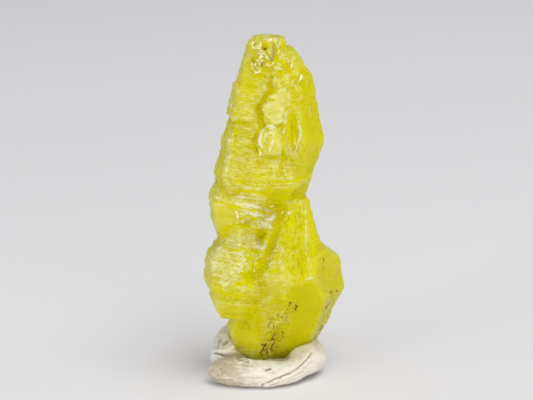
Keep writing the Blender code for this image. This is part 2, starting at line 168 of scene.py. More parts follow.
class Net:
    """A mesh's points and edges as arrays, in millimetres from the specimen's axis."""

    def __init__(self, piece):
        self.mesh = piece.data
        self.points = read_rows(self.mesh.vertices, "co") / MM - np.array(AXIS)
        self.normals = read_rows(self.mesh.vertex_normals, "vector")
        ends = np.empty(len(self.mesh.edges) * 2, np.int64)
        self.mesh.edges.foreach_get("vertices", ends)
        self.ends = ends.reshape(-1, 2).T
        self.count = len(self.points)
        self.neighbours = sum(np.bincount(end, minlength=self.count) for end in self.ends)

    def smoothed(self, values, rounds):
        """Values averaged half way to their neighbours' mean, this many times."""
        a, b = self.ends
        columns = np.array(values, float).reshape(self.count, -1)
        for _ in range(rounds):
            for column in columns.T:
                total = np.bincount(a, column[b], self.count) + np.bincount(b, column[a], self.count)
                column += (total / self.neighbours - column) / 2
        return columns.reshape(np.shape(values))

    def move(self, points):
        """Puts the points in new places, inside the solid's box, and measures the normals."""
        self.points = points = np.clip(points, LOWEST, HIGHEST)
        self.mesh.vertices.foreach_set("co", ((points + np.array(AXIS)) * MM).ravel())
        self.mesh.update()
        self.normals = read_rows(self.mesh.vertex_normals, "vector")

    def raise_by(self, height):
        """Moves each point out along its normal by this height, or in where it is below 0."""
        self.move(self.points + self.normals * height[:, None])

    def hollow(self, rounds):
        """How far each point lies below the smooth shape around it."""
        return ((self.smoothed(self.points, rounds) - self.points) * self.normals).sum(1)

    def paint(self, name, values):
        """Stores a value for each point on the mesh, for a material to read."""
        layer = self.mesh.attributes.new(name, "FLOAT", "POINT")
        layer.data.foreach_set("value", np.asarray(values, np.float32))


crystal_net = Net(crystal)
putty_net = Net(putty)
print("edges:", crystal_net.ends.shape[1], putty_net.ends.shape[1])

# %% [markdown]
# ## Steps and clouds
#
# Two small tools do most of the carving. A soft step turns a value into a mask, with an edge
# as sharp as we like. A cloud is smooth noise: stretched wide and pressed flat it makes growth
# lines, and left round it makes lumps and blotches.

# %% Soft steps and clouds
def soft_step(low, high, values):
    """0 below low, 1 above high, smooth in between."""
    share = np.clip((values - low) / (high - low), 0, 1)
    return share * share * (3 - 2 * share)


def cloud(points, waves, seed=0.0):
    """Smooth noise from about -1 to 1, with this many waves a millimetre along x, y and z."""
    return np.array([noise.noise(place) for place in (points * np.array(waves) + seed).tolist()])


def cells(points, waves, seed=0.0):
    """Scattered cells: each point's place in its own cell, and a random direction for the cell."""
    places, turns = [], []
    for place in (points * waves + seed).tolist():
        middle = noise.voronoi(place)[1][0]
        places.append(Vector(place) - middle)
        turns.append(noise.cell_vector(middle * 7.3) - Vector((0.5, 0.5, 0.5)))
    return np.array(places) / waves, np.array(turns)


print("a cloud's reach:", cloud(crystal_net.points[:2000], (1, 1, 1)).round(2).max())

# %% [markdown]
# ## Loosen the solid's edges
#
# A solid made of cut blocks has edges that run dead straight for centimetres. Those of the
# real crystal waver, because every layer stopped growing where it liked. Two things help: a
# few rounds of smoothing, and a slow cloud that pushes the whole surface a little sideways.
# Points pushed by a cloud of places, not of heights, keep their neighbours, so nothing tears.

# %% Waver
LOOSEN_ROUNDS = 5
WAVER = 0.2
WAVER_WAVES = (0.45, 0.45, 0.45)
WAVER_SEEDS = (3.0, 17.0, 31.0)

loose = crystal_net.smoothed(crystal_net.points, LOOSEN_ROUNDS)
drift = np.stack([cloud(loose, WAVER_WAVES, seed) for seed in WAVER_SEEDS], axis=1)
crystal_net.move(loose + WAVER * drift)
print("moved by up to", round(WAVER * np.abs(drift).max(), 2), "mm")

# %% [markdown]
# ## The stencil
#
# Plates and grooves are drawn as a sculptor would mark them: on the front, as seen from where
# we stand. The stencil turns each point into two numbers, across and up, in millimetres as the
# camera sees them, from the foot of the axis. A line drawn on the stencil then moves every
# point under it, whatever its depth, and only where the surface faces us.
#
# The forms are drawn on a board of small squares that fills the camera's view, and
# each place is so many squares from the board's left edge and so many down from its top. The
# side of a square follows from the lens. Places are rounded to a tenth of a millimetre, which
# is as finely as they can be drawn.

# %% Points as the camera sees them
def on_stencil(points):
    """Each point's place across and up, in millimetres, as the camera sees it."""
    rays = points - np.array(CAMERA_PLACE)
    enlarge = CAMERA_DISTANCE / (rays @ -np.array(TOWARDS_US))
    return np.stack([rays[:, 0] * enlarge, (rays @ np.array(CAMERA_UP)) * enlarge], axis=1)


STENCIL_FOOT = on_stencil(np.zeros((1, 3)))[0]
BOARD_WIDTH = 533
BOARD_FOOT = (266.5, 371.4)  # the square that the foot of the axis is on
VIEW_WIDTH = camera.data.sensor_width / LENS * CAMERA_DISTANCE
SQUARE = round(VIEW_WIDTH / BOARD_WIDTH, 5)


def drawn(line):
    """Places on the board, (across, down) and perhaps a width, in squares, as millimetres."""
    return [
        (
            round((across - BOARD_FOOT[0]) * SQUARE, 1),
            round((BOARD_FOOT[1] - down) * SQUARE, 1),
            *(round(width * SQUARE, 2) for width in widths),
        )
        for across, down, *widths in line
    ]


print("a square of the board is", SQUARE, "mm")

# %% [markdown]
# A stroke is a line with a width at each point. What we need is how far each point of the
# surface lies from the line, in half widths. A patch is an outline, and there we need how far
# inside it a point lies. Only the points near a stroke or patch are worked out. A little noise
# shifts the stencil as it goes, so that no edge comes out as smooth as it was drawn.

# %% Strokes and patches on a stencil
class Stencil:
    """The front of one net, as the camera sees it."""

    NEAR = 1.2
    THINNEST = 0.11
    EDGE_ON, FACING_US = 0.02, 0.3
    WAVES = (1.1, 3.1)
    SEEDS = (41.0, 59.0)

    def __init__(self, net, waver):
        self.places = on_stencil(net.points) - STENCIL_FOOT
        for waves, reach in zip(self.WAVES, (waver, waver / 2)):
            for column, seed in enumerate(self.SEEDS):
                self.places[:, column] += reach * cloud(net.points, (waves,) * 3, seed)
        self.facing = soft_step(self.EDGE_ON, self.FACING_US, net.normals @ np.array(TOWARDS_US))

    def near(self, outline):
        """The points close enough to this outline to be touched by it, and facing us."""
        corners = np.array([place[:2] for place in outline])
        high, low = corners.max(0) + self.NEAR, corners.min(0) - self.NEAR
        inside = (self.places > low) & (self.places < high)
        return np.flatnonzero(inside.all(1) & (self.facing > 0))

    def stroke(self, line, soft=1.0):
        """The points near a line, and how much of the line covers each, from 0 to 1."""
        line = drawn(line)
        found = self.near(line)
        gap = np.full(len(found), 1e9)
        for (ax, ay, wide), (bx, by, wider) in zip(line, line[1:]):
            wide, wider = max(wide, self.THINNEST), max(wider, self.THINNEST)
            start, along = np.array((ax, ay)), np.array((bx - ax, by - ay))
            share = np.clip((self.places[found] - start) @ along / (along @ along), 0, 1)
            away = np.hypot(*(self.places[found] - start - share[:, None] * along).T)
            gap = np.minimum(gap, away / (wide + share * (wider - wide)))
        return found, (1 - soft_step(1 - soft / 2, 1 + soft / 2, gap)) * self.facing[found]

    def patch(self, outline, rim=0.1):
        """The points near an outline, and how much of it covers each, from 0 to 1."""
        outline = drawn(outline)
        found = self.near(outline)
        x, y = self.places[found].T
        gap, inside = np.full(len(found), 1e9), np.zeros(len(found), bool)
        for (ax, ay), (bx, by) in zip(outline, outline[1:] + outline[:1]):
            along = np.array((bx - ax, by - ay))
            share = np.clip(((x - ax) * along[0] + (y - ay) * along[1]) / (along @ along), 0, 1)
            gap = np.minimum(gap, np.hypot(x - ax - share * along[0], y - ay - share * along[1]))
            if by != ay:
                inside ^= ((ay > y) != (by > y)) & (x < ax + (y - ay) * along[0] / along[1])
        gap = np.where(inside, gap, -gap)
        return found, soft_step(-rim, rim, gap) * self.facing[found]


def covered(stencil, patches, rim):
    """How much each point is covered by the patches of a table, each (how much, outline)."""
    total = np.zeros(len(stencil.places))
    for share, outline in patches.values():
        found, cover = stencil.patch(outline, rim)
        total[found] = np.maximum(total[found], share * cover)
    return total


front = Stencil(crystal_net, waver=0.25)
print("stencil reach:", front.places.min(0).round(1), front.places.max(0).round(1))

# %% [markdown]
# ## Ease the slot
#
# The solid's slot is cut with sharp walls, and light would be lost in it. The real one is a
# shallow, glassy dip. Many rounds of smoothing fill it, and a mask with soft edges keeps that
# to the slot alone. The mask can't use which way a point faces, because the slot's walls face
# sideways and have to move as well. It takes the front half of the crystal instead.

# %% Smooth the slot alone
SLOT_ACROSS = (2.3, 5.1)
SLOT_UP = (28.1, 35.3)
SLOT_RIM = 0.4
SLOT_ROUNDS = 160


def within(values, low, high, rim):
    """1 between low and high, 0 outside, with soft edges."""
    return soft_step(low - rim, low + rim, values) * (1 - soft_step(high - rim, high + rim, values))


slot_share = within(front.places[:, 0], *SLOT_ACROSS, SLOT_RIM) * (crystal_net.points[:, 1] < 0)
slot_share *= within(front.places[:, 1], *SLOT_UP, SLOT_RIM)
filled = crystal_net.smoothed(crystal_net.points, SLOT_ROUNDS) - crystal_net.points
crystal_net.move(crystal_net.points + slot_share[:, None] * filled)
print("points eased:", int((slot_share > 0).sum()))

# %% [markdown]
# ## What grew on the front
#
# Each table names its forms. A groove is (depth, stations), a ridge is (height, frost,
# stations) and a station is (across, down, half width). A plate is (height, frost, outline).
# Depths and heights are in millimetres, and the rest is in squares of the board. Frost is how
# white a surface looks: finely etched sulfur scatters the light and turns pale, and glassy
# sulfur lets us look into the deep yellow. Pools are such glassy places, (depth, how clear,
# outline), and the smooth faces are (how smooth, outline). How clear a pool or a groove is also
# sets a brighter yellow in the colour: painted light, against the shade that lies in them.

# %% Grooves and pits
GROOVES = {
    "wavy_groove": (0.14, [
        (271, 80, 1.0), (270.5, 86, 1.6), (271, 91, 2.6), (268, 95, 1.6), (265, 99, 1.4),
        (262.5, 103, 1.3), (261, 108, 1.2), (260.5, 113, 1.4), (262, 118, 2.2), (263, 123, 2.8),
        (261.5, 127, 2.0), (258, 131, 1.5), (256.5, 136, 1.4), (255.5, 141, 1.4), (256, 145, 1.2),
        (258, 147.5, 0.9), (260.5, 150.5, 0.8), (262, 154, 0.9), (262, 158, 1.1), (261, 161, 1.2),
    ]),
    "slot": (0.1, [
        (291.5, 112, 0.8), (292.5, 117, 2.0), (293.2, 122, 3.0), (293.4, 127, 3.1), (293, 132, 2.6),
        (292, 137, 1.4), (292, 142, 0.9), (293, 147, 0.6),
    ]),
    "slot_arch": (0.12, [
        (295, 106, 0.6), (290, 107, 0.7), (286.5, 110, 0.8), (284.5, 114, 0.7), (283.8, 118, 0.6),
    ]),
    "step_line": (0.22, [
        (286.5, 135, 0.9), (284, 139, 1.0), (283, 143, 1.3), (284.5, 146, 0.9), (284, 150, 0.9),
        (284, 155, 1.0), (282.5, 159, 1.1), (281.5, 163, 1.3), (280, 167, 1.0), (279.5, 171, 1.0),
        (280, 174, 0.8),
    ]),
    "lump_groove": (0.22, [
        (232, 127, 0.8), (234, 131, 1.2), (236, 136, 1.6), (236.5, 140, 1.7), (235, 144, 1.6),
        (233, 147, 0.7),
    ]),
    "shoulder_pit": (0.15, [(219, 178, 1.2), (221, 181, 1.6), (221.5, 185, 1.3), (219, 188, 0.7)]),
    "short_arch": (0.10, [(235, 183, 0.6), (238, 181.5, 0.9), (241, 181.3, 1.0), (244, 183, 0.6)]),
    "ledge_line": (0.12, [
        (246, 176, 0.4), (255, 177, 0.6), (262, 178, 0.7), (268, 180, 0.8), (274, 181, 0.9),
        (281, 182.5, 1.0), (288, 182, 0.9), (296, 180, 1.1), (301, 178, 0.8),
    ]),
    "nick": (0.18, [
        (272.8, 183, 0.8), (271.8, 187, 1.2), (270, 191, 1.3), (268.6, 194, 1.3), (269.2, 197, 0.8),
    ]),
    "stripe_line": (0.09, [(232, 190.5, 0.5), (243, 191.5, 0.8), (254, 193, 0.7), (264, 195.5, 0.6)]),
    "under_ledge": (0.20, [
        (213, 200, 0.5), (219, 202, 0.9), (224, 203, 0.9), (229, 206, 1.6), (233, 207.5, 1.8),
        (237, 208.5, 1.3), (243, 209.5, 1.0), (250, 211, 0.8), (257, 212, 0.9), (262, 212, 1.0),
        (267, 214, 1.3), (271, 213, 1.0),
    ]),
    "pockets": (0.22, [
        (240, 219.5, 0.7), (243.5, 218.5, 1.3), (248, 217.6, 1.2), (252, 219, 1.3), (255, 221, 1.7),
        (258, 219, 0.9),
    ]),
    "pocket_low": (0.18, [(255, 223, 0.9), (257, 226, 1.1), (258, 229, 0.9)]),
    "waist_band": (0.30, [
        (216, 233, 1.6), (221, 232, 2.2), (226, 229.5, 2.3), (231, 227, 1.9), (236, 225.5, 1.3),
        (241, 226, 1.8), (246, 227, 1.8), (251, 228.5, 1.7), (256, 230.3, 1.5), (261, 232, 1.0),
        (266, 234, 0.8),
    ]),
    "waist_left": (0.20, [(219, 236, 1.8), (223, 237, 2.4), (227, 235, 1.6)]),
    "lobe_line": (0.10, [(257, 236.5, 0.7), (262, 238.7, 0.9), (266, 239.3, 0.7)]),
    "patch_rim": (0.12, [
        (222, 248, 0.5), (228, 249, 0.7), (233, 251.5, 1.4), (236, 249, 0.6), (241, 248.6, 0.5),
        (246, 249, 0.9), (250, 251, 1.0), (255, 251, 1.0), (259, 253, 1.0), (262.5, 251, 0.8),
    ]),
    "swirl": (0.12, [
        (245.5, 258, 0.9), (248, 255.5, 0.9), (251, 255.5, 0.9), (252.5, 258, 0.8), (250, 260, 0.6),
    ]),
    "trough": (0.35, [
        (284, 199, 3.0), (282.5, 205, 3.4), (281, 210, 3.0), (279.5, 215, 3.0), (278, 220, 3.2),
        (276.5, 226, 3.2), (275, 232, 3.4), (273, 238, 4.2), (271, 244, 5.0), (268.5, 250, 4.6),
        (266, 256, 4.0), (263.5, 262, 4.2), (259, 267, 4.2), (254, 272, 4.4), (249, 276, 4.4),
        (246, 280, 2.0),
    ]),
    "trough_branch": (0.15, [
        (291, 211, 1.0), (293.5, 215, 2.4), (293, 220, 2.6), (291.5, 225, 1.9), (289.5, 230, 1.2),
    ]),
    "column_cap": (0.16, [
        (279, 197.5, 1.2), (286, 198.5, 2.0), (293, 197.5, 2.0), (300, 196, 2.6), (305, 197.5, 2.4),
        (309, 201.5, 1.8), (312, 207, 1.6),
    ]),
    "column_gutter": (0.06, [
        (311, 206, 1.6), (312, 214, 2.0), (312.3, 224, 2.1), (312.5, 235, 2.2), (313.2, 248, 2.3),
        (314, 260, 2.4), (314.5, 270, 2.4), (315, 277, 1.6),
    ]),
    "apex_pits": (0.15, [(301.5, 279, 1.4), (304, 275.5, 1.7), (307.5, 272.5, 1.5), (310.5, 273, 0.9)]),
    "column_pit": (0.14, [(267, 270.5, 1.0), (271, 271.5, 1.5), (275, 271.5, 1.5), (278, 269.5, 1.0)]),
    "column_nick": (0.12, [(275.5, 259, 1.3), (277.5, 256, 1.1), (279, 252, 0.8)]),
    "lobe_foot": (0.16, [
        (215, 290.5, 1.4), (218.5, 289.5, 2.0), (222, 291.8, 1.9), (226, 295, 1.2), (231, 294, 1.2),
        (236, 296, 1.6), (241, 294.5, 0.9),
    ]),
    "lobe_foot_low": (0.12, [(229, 297.5, 0.7), (234, 299, 0.8), (238, 297.5, 0.6)]),
    "lobe_corner": (0.20, [
        (233, 287.5, 1.1), (236, 283.5, 2.4), (241, 283, 2.6), (246, 283, 2.4), (251, 280, 2.8),
        (252, 286, 2.0),
    ]),
    "upper_scar": (0.12, [(277, 60, 1.2), (281, 62, 1.0), (286, 66, 2.2), (289, 70, 1.2)]),
    "upper_nick": (0.14, [(292, 72, 0.9), (293.5, 76, 1.4), (296, 80, 0.9)]),
    "right_nick": (0.16, [(293.5, 97, 0.9), (295, 93.5, 1.5), (297.5, 91, 0.9)]),
    "left_nick": (0.12, [(231, 110, 0.7), (233.5, 112, 1.5), (236, 113, 0.8)]),
    "druse_moat": (0.16, [
        (250, 70, 1.0), (252, 75, 1.4), (257, 78, 1.8), (262, 75, 1.6), (266, 69, 1.3), (270, 64, 1.6),
        (275, 62, 2.6), (279, 57, 1.2),
    ]),
    "tip_dimple": (0.20, [(258, 38, 1.3), (260, 37, 1.8), (262, 38.5, 1.0)]),
    "tip_hole": (0.2, [(263, 44, 1.2), (264.8, 48, 1.4), (263.5, 51, 1.0)]),
    "tip_right": (0.14, [(281, 40, 1.2), (283, 41.5, 1.8), (285, 44, 1.0)]),
    "wing_rim": (0.12, [(322, 247, 0.8), (327, 248, 1.0), (332, 252, 0.9)]),
    "lower_crease": (0.10, [(250, 262, 0.8), (246, 268, 0.9), (244, 272, 1.2), (240, 276, 1.0)]),
}
print(len(GROOVES), "grooves")

# %% Ridges and chips
# The ridges named glint, the two slivers, boss_crown and the chip glints are small real ridges whose high
# frost paints pale, nearly white flecks: painted highlights.
RIDGES = {
    "tip_lump": (0.12, 0.40, [(273.5, 45, 2.8), (273.2, 51, 4.4), (272, 58.5, 2.8)]),
    "slot_wall_left": (0.06, 0.6, [
        (290.5, 109.5, 0.9), (288, 113, 1.4), (286.8, 118, 1.5), (286, 124, 1.4), (284.6, 129, 1.4),
        (284, 133, 1.0),
    ]),
    "slot_wall_right": (0.06, 0.7, [
        (297.3, 118, 0.8), (299, 125, 1.1), (300, 131, 1.5), (299.6, 138, 1.5), (298, 144, 0.9),
    ]),
    "slot_streak": (0.06, 0.7, [(295.2, 132, 0.6), (294.6, 139, 0.9), (295.6, 147, 0.7)]),
    "boss_rim": (0.14, 0.55, [
        (264, 129.5, 1.0), (261, 132.5, 1.5), (259.4, 136, 1.8), (259, 140, 1.8), (259.8, 144, 1.5),
        (261, 147.5, 0.9),
    ]),
    "boss_crown": (0.12, 0.8, [
        (267, 127.8, 0.9), (270, 128.2, 1.4), (273, 127.4, 1.4), (276, 127.2, 0.9),
    ]),
    "boss_line": (0.10, 0.5, [(266.6, 134, 0.6), (265.2, 138, 1.0), (264, 142, 0.9)]),
    "boss_arch": (0.08, 0.4, [
        (267.6, 135.5, 0.6), (270, 133.4, 0.9), (272.3, 134.4, 0.9), (273.5, 138, 0.6),
    ]),
    "boss_lobe": (0.12, 0.55, [(272.6, 140.5, 0.9), (271.4, 144, 1.5), (270.8, 148, 1.1)]),
    "groove_glint": (0.10, 1.0, [
        (256.6, 146.5, 0.5), (258.8, 149.5, 0.8), (260.3, 153, 0.9), (260.6, 155.5, 0.6),
    ]),
    "groove_glint_low": (0.08, 1.0, [(258, 158, 0.4), (259.4, 159.6, 0.8)]),
    "trough_lip": (0.10, 0.5, [(270, 256.5, 0.8), (272.5, 254.5, 1.1), (274.5, 252.5, 0.7)]),
    "sliver": (0.12, 1.1, [(235, 211, 0.5), (236.6, 214, 1.2), (238, 217, 1.2), (239.2, 219, 0.5)]),
    "lobe_sliver": (0.12, 0.8, [(249.3, 260.5, 0.8), (247.8, 264, 1.5), (246.8, 268, 1.1)]),
    "lobe_arc": (0.07, 0.35, [(208, 276, 0.5), (212, 279.5, 0.7), (217, 282, 0.7), (222, 283, 0.5)]),
    "corner_arc": (0.07, 0.35, [
        (240.5, 280.6, 0.5), (244, 281, 0.6), (248, 280, 0.6), (251, 277, 0.5),
    ]),
    "column_streak": (0.07, 0.25, [
        (306, 206, 0.9), (306.6, 215, 1.3), (306.3, 226, 1.5), (306.5, 238, 1.4), (307, 250, 1.2),
        (307.3, 262, 0.9),
    ]),
    "column_chip_glint": (0.10, 0.9, [(286.8, 213, 0.7), (288.6, 213.6, 1.2), (290.3, 212.2, 0.7)]),
    "column_chip_top_glint": (0.08, 0.55, [(286.5, 203, 0.7), (288, 202, 1.1), (289.4, 203, 0.7)]),
    "apex_chip_glint": (0.10, 0.9, [(307.5, 278.4, 0.7), (309.6, 277.8, 1.2), (311.6, 277.4, 0.7)]),
    "stripe_1": (0.06, 0.4, [
        (237, 196.6, 0.4), (246, 197.2, 0.7), (256, 198.2, 0.7), (266, 199.2, 0.5),
    ]),
    "stripe_2": (0.06, 0.35, [(240, 193.8, 0.4), (250, 195, 0.6), (260, 196, 0.6), (267, 197.2, 0.4)]),
    "stripe_3": (0.06, 0.3, [(228, 188.5, 0.4), (238, 188.6, 0.6), (248, 189.4, 0.5)]),
    "right_lip": (0.05, 0.35, [(309.4, 106, 0.5), (310, 111, 0.8), (310.4, 116, 0.5)]),
    "left_lip": (0.06, 0.4, [(226.5, 108, 0.5), (227.3, 113, 0.8), (228.2, 118, 0.5)]),
    "shoulder_glint": (0.10, 1.2, [(300.6, 74.5, 0.6), (301.2, 77, 1.1), (301.8, 79.5, 0.6)]),
    "shoulder_glint_low": (0.08, 0.8, [(295.6, 86.5, 0.6), (296.3, 88.5, 1.0)]),
    "left_glint": (0.08, 1.0, [(230.2, 104.4, 0.6), (231.6, 105, 1.0), (233, 105.8, 0.6)]),
    "lobe_glint": (0.06, 1.0, [(215.8, 197, 0.6), (216.3, 198.6, 0.8)]),
    "patch_glint": (0.06, 0.6, [(243, 250.4, 0.5), (246, 249.9, 0.9), (248.4, 250.4, 0.5)]),
    "corner_glint": (0.06, 0.5, [(241.5, 292.5, 0.6), (242.6, 292.8, 0.9)]),
    "right_shoulder_glint": (0.06, 0.5, [(304.5, 64.8, 0.7), (306, 66.6, 0.9)]),
}
print(len(RIDGES), "ridges")

# %% Plates
PLATES = {
    "column_clear": (0.0, -0.35, [
        (283, 206), (300, 204), (306, 230), (309, 275), (296, 285), (284, 262), (281, 230),
    ]),
    # These three plates have no height. They paint the stack, the top of the lobe and the left facet
    # paler: partly pale skin of their own, partly painted light that lifts places the lamps leave dark.
    "stack_pale": (0.0, 0.75, [
        (244, 203), (262, 207), (277, 213), (282, 222), (277, 232), (262, 229), (247, 222), (240, 212),
    ]),
    "lobe_top_pale": (0.0, 0.45, [
        (222, 238), (238, 232), (256, 236), (268, 242), (264, 250), (246, 249), (228, 250), (216, 252),
    ]),
    "facet_left_pale": (0.0, 0.45, [
        (212, 205), (222, 204.5), (230, 209), (234, 213), (233.5, 220), (230.5, 224.5), (220, 224.5),
        (215.5, 219),
    ]),
    "bevel": (0.10, 0.38, [
        (225.8, 147), (228.6, 146), (231, 150), (231, 160), (230, 164), (228.5, 170), (228, 186),
        (224.5, 186), (225, 172), (224.6, 165), (225, 158),
    ]),
    "oval_lump": (0.26, 0.28, [
        (226.5, 134), (229, 131), (232, 132), (233.5, 137), (233, 142), (230.5, 146), (227.5, 146),
        (226, 141),
    ]),
    "middle_plate": (0.26, 0.6, [
        (270, 94), (275, 94), (280, 88.5), (285, 87.5), (289, 92), (290, 99), (290, 105), (286, 109),
        (283.5, 114), (282.5, 121), (279, 124.5), (274.5, 124), (271, 121), (267, 118), (264, 115),
        (262.6, 110), (263, 105.5), (266, 103), (271, 102.4), (275, 100), (271, 97.5),
    ]),
    "upper_plate": (0.16, 0.20, [
        (276, 85), (280, 81.5), (286, 83), (288.5, 89), (284, 92), (278, 91.5),
    ]),
    "edge_plate": (0.12, 0.18, [
        (257, 82), (262, 77), (268.5, 73), (269.5, 82), (267.5, 91), (262.5, 98), (257.5, 96),
    ]),
    "boss": (0.22, 0.36, [
        (258.5, 133), (262, 129), (268, 126.6), (276, 126.6), (281, 130), (284, 135), (281.5, 142),
        (282.2, 150), (281, 158), (279, 166), (276, 168.5), (272, 167.5), (268, 165.5), (264.5, 160),
        (263, 155), (263.2, 150), (261, 147.5), (258.4, 143), (257.6, 138),
    ]),
    "boss_foot": (0.08, 0.25, [(270, 160.5), (275, 161), (279, 164), (277.5, 168), (273, 166)]),
    "slot_shoulder": (0.14, 0.30, [
        (286, 139), (289, 135), (290.4, 142), (293, 147), (296, 151.5), (297, 157), (294, 161),
        (290, 157.5), (287, 151), (285.4, 145),
    ]),
    "neck_plate": (0.10, 0.10, [
        (284, 160), (290, 161), (297, 164), (297, 176), (289, 180), (281, 179), (281.5, 170),
    ]),
    "stripe_plate": (0.16, 0.32, [
        (221, 187), (229, 189.5), (240, 190), (250, 191.5), (262, 194.5), (268.5, 197.5), (266, 203),
        (262, 209), (256, 210.5), (248, 209.5), (240, 208), (234, 204), (229, 197), (225, 191),
    ]),
    "waist_step": (0.10, 0.10, [
        (240, 212), (248, 211.5), (258, 213.5), (262, 216), (254, 217), (246, 216.4), (241, 217),
    ]),
    "waist_chip": (0.12, 0.30, [
        (241, 222.5), (247, 221), (253, 222.5), (256, 226), (250, 226.4), (244, 225),
    ]),
    "stack_top": (0.20, 0.42, [
        (264.6, 219), (268, 216.4), (276, 216.4), (276, 219.5), (272, 222.5), (266, 222),
    ]),
    "stack_low": (0.16, 0.38, [
        (258, 227), (263, 223.4), (270, 223), (273, 227), (273, 233), (270.5, 240), (266, 236.5),
        (262, 231),
    ]),
    "facet_left": (0.12, 0.02, [
        (212, 205), (222, 204.5), (230, 209), (234, 213), (233.5, 220), (230.5, 224.5), (220, 224.5),
        (215.5, 219),
    ]),
    "lobe_step": (0.12, 0.12, [
        (224, 241), (230, 234), (240, 231.5), (252, 233), (262, 238), (269, 241), (269, 246),
        (265, 250), (255, 249.5), (240, 248), (226, 248),
    ]),
    "lobe_corner_plate": (0.08, 0.30, [
        (256, 243), (263, 241), (269, 241.5), (267.5, 247), (264, 250), (257, 249),
    ]),
    "lobe_patch": (0.14, 0.50, [
        (211, 252), (217, 247), (226, 249.5), (232, 252.5), (240, 250.5), (246, 251), (247, 257),
        (244, 262), (245.5, 268), (240, 274), (238.5, 282), (233, 286.5), (222, 286.5), (219, 279),
        (212, 274), (208.5, 267), (208.5, 259),
    ]),
    "trough_plate": (0.22, 0.32, [(255, 266.5), (258, 263), (261, 266), (260, 271), (256.5, 270.5)]),
    "column_plate": (0.16, 0.26, [
        (268, 263), (272, 259.5), (277, 260), (278.5, 264), (276, 268.5), (271, 269.5), (268.5, 267),
    ]),
    "lip_plate": (0.12, 0.15, [
        (250, 252), (256, 252.5), (262, 254), (259, 259), (254, 264), (251, 260),
    ]),
    "foot_plate": (0.10, 0.10, [
        (217, 293), (222, 293), (224, 300), (222, 308), (218, 306), (216.5, 299),
    ]),
}
print(len(PLATES), "plates")

# %% Glassy pools
POOLS = {
    "stack_shadow": (0.0, 1.0, [
        (256, 231), (262, 228), (268, 231), (271, 238), (268, 244), (261, 242), (257, 237),
    ]),
    "slot": (0.0, 1.0, [
        (291, 110), (296, 112), (297, 122), (297, 134), (294, 146), (290, 144), (289, 130), (289, 118),
    ]),
    "left_rim_high": (0.02, 0.9, [
        (228.5, 128.5), (224, 133.5), (222.8, 137.5), (225.5, 139), (227, 135), (229.8, 131),
    ]),
    "left_rim": (0.02, 0.9, [
        (225, 147), (219.5, 153), (216.5, 160), (215, 168), (216, 176), (219, 180), (221.8, 178),
        (221, 170), (221.6, 162), (223.6, 155), (225.6, 149),
    ]),
    "lobe_rim": (0.02, 0.8, [
        (205.8, 262), (206.2, 272), (209, 283), (212, 294), (214.5, 301), (217.5, 296), (215, 289),
        (219.5, 287.5), (212.5, 281), (208.6, 274), (207.6, 266),
    ]),
    "right_bulge": (0.02, 0.75, [
        (316, 147), (320, 140), (322.5, 133), (322, 143), (318, 151), (312, 160), (309, 168),
        (307.5, 160), (309, 151),
    ]),
    "neck_right": (0.02, 0.6, [
        (301, 168), (304.5, 150), (307.5, 146), (308.5, 160), (308, 172), (306.5, 186), (303, 192),
        (300, 184),
    ]),
    "upper_left_face": (0.02, 0.45, [
        (240, 72), (247, 66), (253, 76), (257, 80), (257, 97), (250, 98), (243, 96), (236, 90),
        (233, 84),
    ]),
}
print(len(POOLS), "pools")

# %% Smooth faces
SMOOTH = {
    "foot_facet": (0.9, [
        (308, 280), (316, 283), (321, 291), (322.5, 300), (318, 315), (313, 330), (306, 345),
        (298, 353), (286, 357), (287, 340), (292, 322), (295, 308), (288, 303), (281, 300), (283, 296),
        (291, 291), (299, 283),
    ]),
    "right_face": (0.7, [
        (296, 62), (304, 64), (309, 76), (313, 92), (317, 106), (319, 122), (314, 140), (306, 150),
        (303, 130), (302, 105), (301, 84),
    ]),
    "wing_face": (0.7, [
        (318, 247), (330, 249), (338, 262), (343, 281), (334, 291), (325, 297), (320, 284), (317, 266),
    ]),
    "facet_left": (0.8, [
        (212, 205), (222, 204.5), (230, 209), (234, 213), (233.5, 220), (230.5, 224.5), (220, 224.5),
        (215.5, 219),
    ]),
    "lower_left": (0.55, [(228, 306), (262, 308), (262, 330), (258, 350), (240, 345), (228, 330)]),
    "slot": (0.8, [
        (291, 110), (296, 112), (297, 122), (297, 134), (294, 146), (290, 144), (289, 130), (289, 118),
    ]),
    "middle_plate": (0.5, [
        (270, 94), (280, 88.5), (289, 92), (290, 103), (285, 113), (280, 124), (271, 121), (264, 114),
        (263, 106), (271, 102),
    ]),
    "boss": (0.5, [
        (259, 134), (266, 128), (276, 127), (283, 134), (282, 150), (280, 165), (272, 167), (264, 157),
        (262, 148), (258, 142),
    ]),
    "tan_lump": (0.9, [
        (270, 43), (274, 42), (277, 46), (277, 52), (275, 57), (271, 58), (269, 53), (268.6, 48),
    ]),
}
print(len(SMOOTH), "smooth faces")

# %% [markdown]
# Two more tables say where the surface is broken into chips, and where the growth lines stand
# upright instead of lying level. Both hold (how much, outline). The sides of the slot and the
# slim column are upright faces that grew outwards, so their lines run up and down.

# %% Chipped zones and upright lines
BROKEN = {
    "tip": (1.0, [(248, 34), (284, 36), (298, 58), (290, 70), (272, 82), (248, 80), (240, 62)]),
    "upper_right": (0.9, [(276, 60), (298, 64), (303, 84), (300, 104), (288, 98), (272, 80)]),
    "waist": (0.6, [(232, 208), (276, 214), (274, 240), (258, 232), (236, 230), (224, 222)]),
    "trough_side": (0.8, [
        (246, 250), (272, 236), (284, 250), (276, 268), (262, 286), (240, 292), (236, 270),
    ]),
    "column": (0.5, [(282, 206), (304, 206), (302, 262), (278, 272), (272, 256)]),
    "wing_edge": (0.7, [
        (344, 283), (335, 290.5), (326, 298), (322, 310), (317, 325), (311, 338), (318, 345),
        (332, 330), (342, 300),
    ]),
    "left_rim": (0.6, [
        (240, 70), (232, 100), (222, 140), (212, 180), (206, 200), (214, 205), (224, 180), (230, 140),
        (238, 104), (246, 76),
    ]),
}
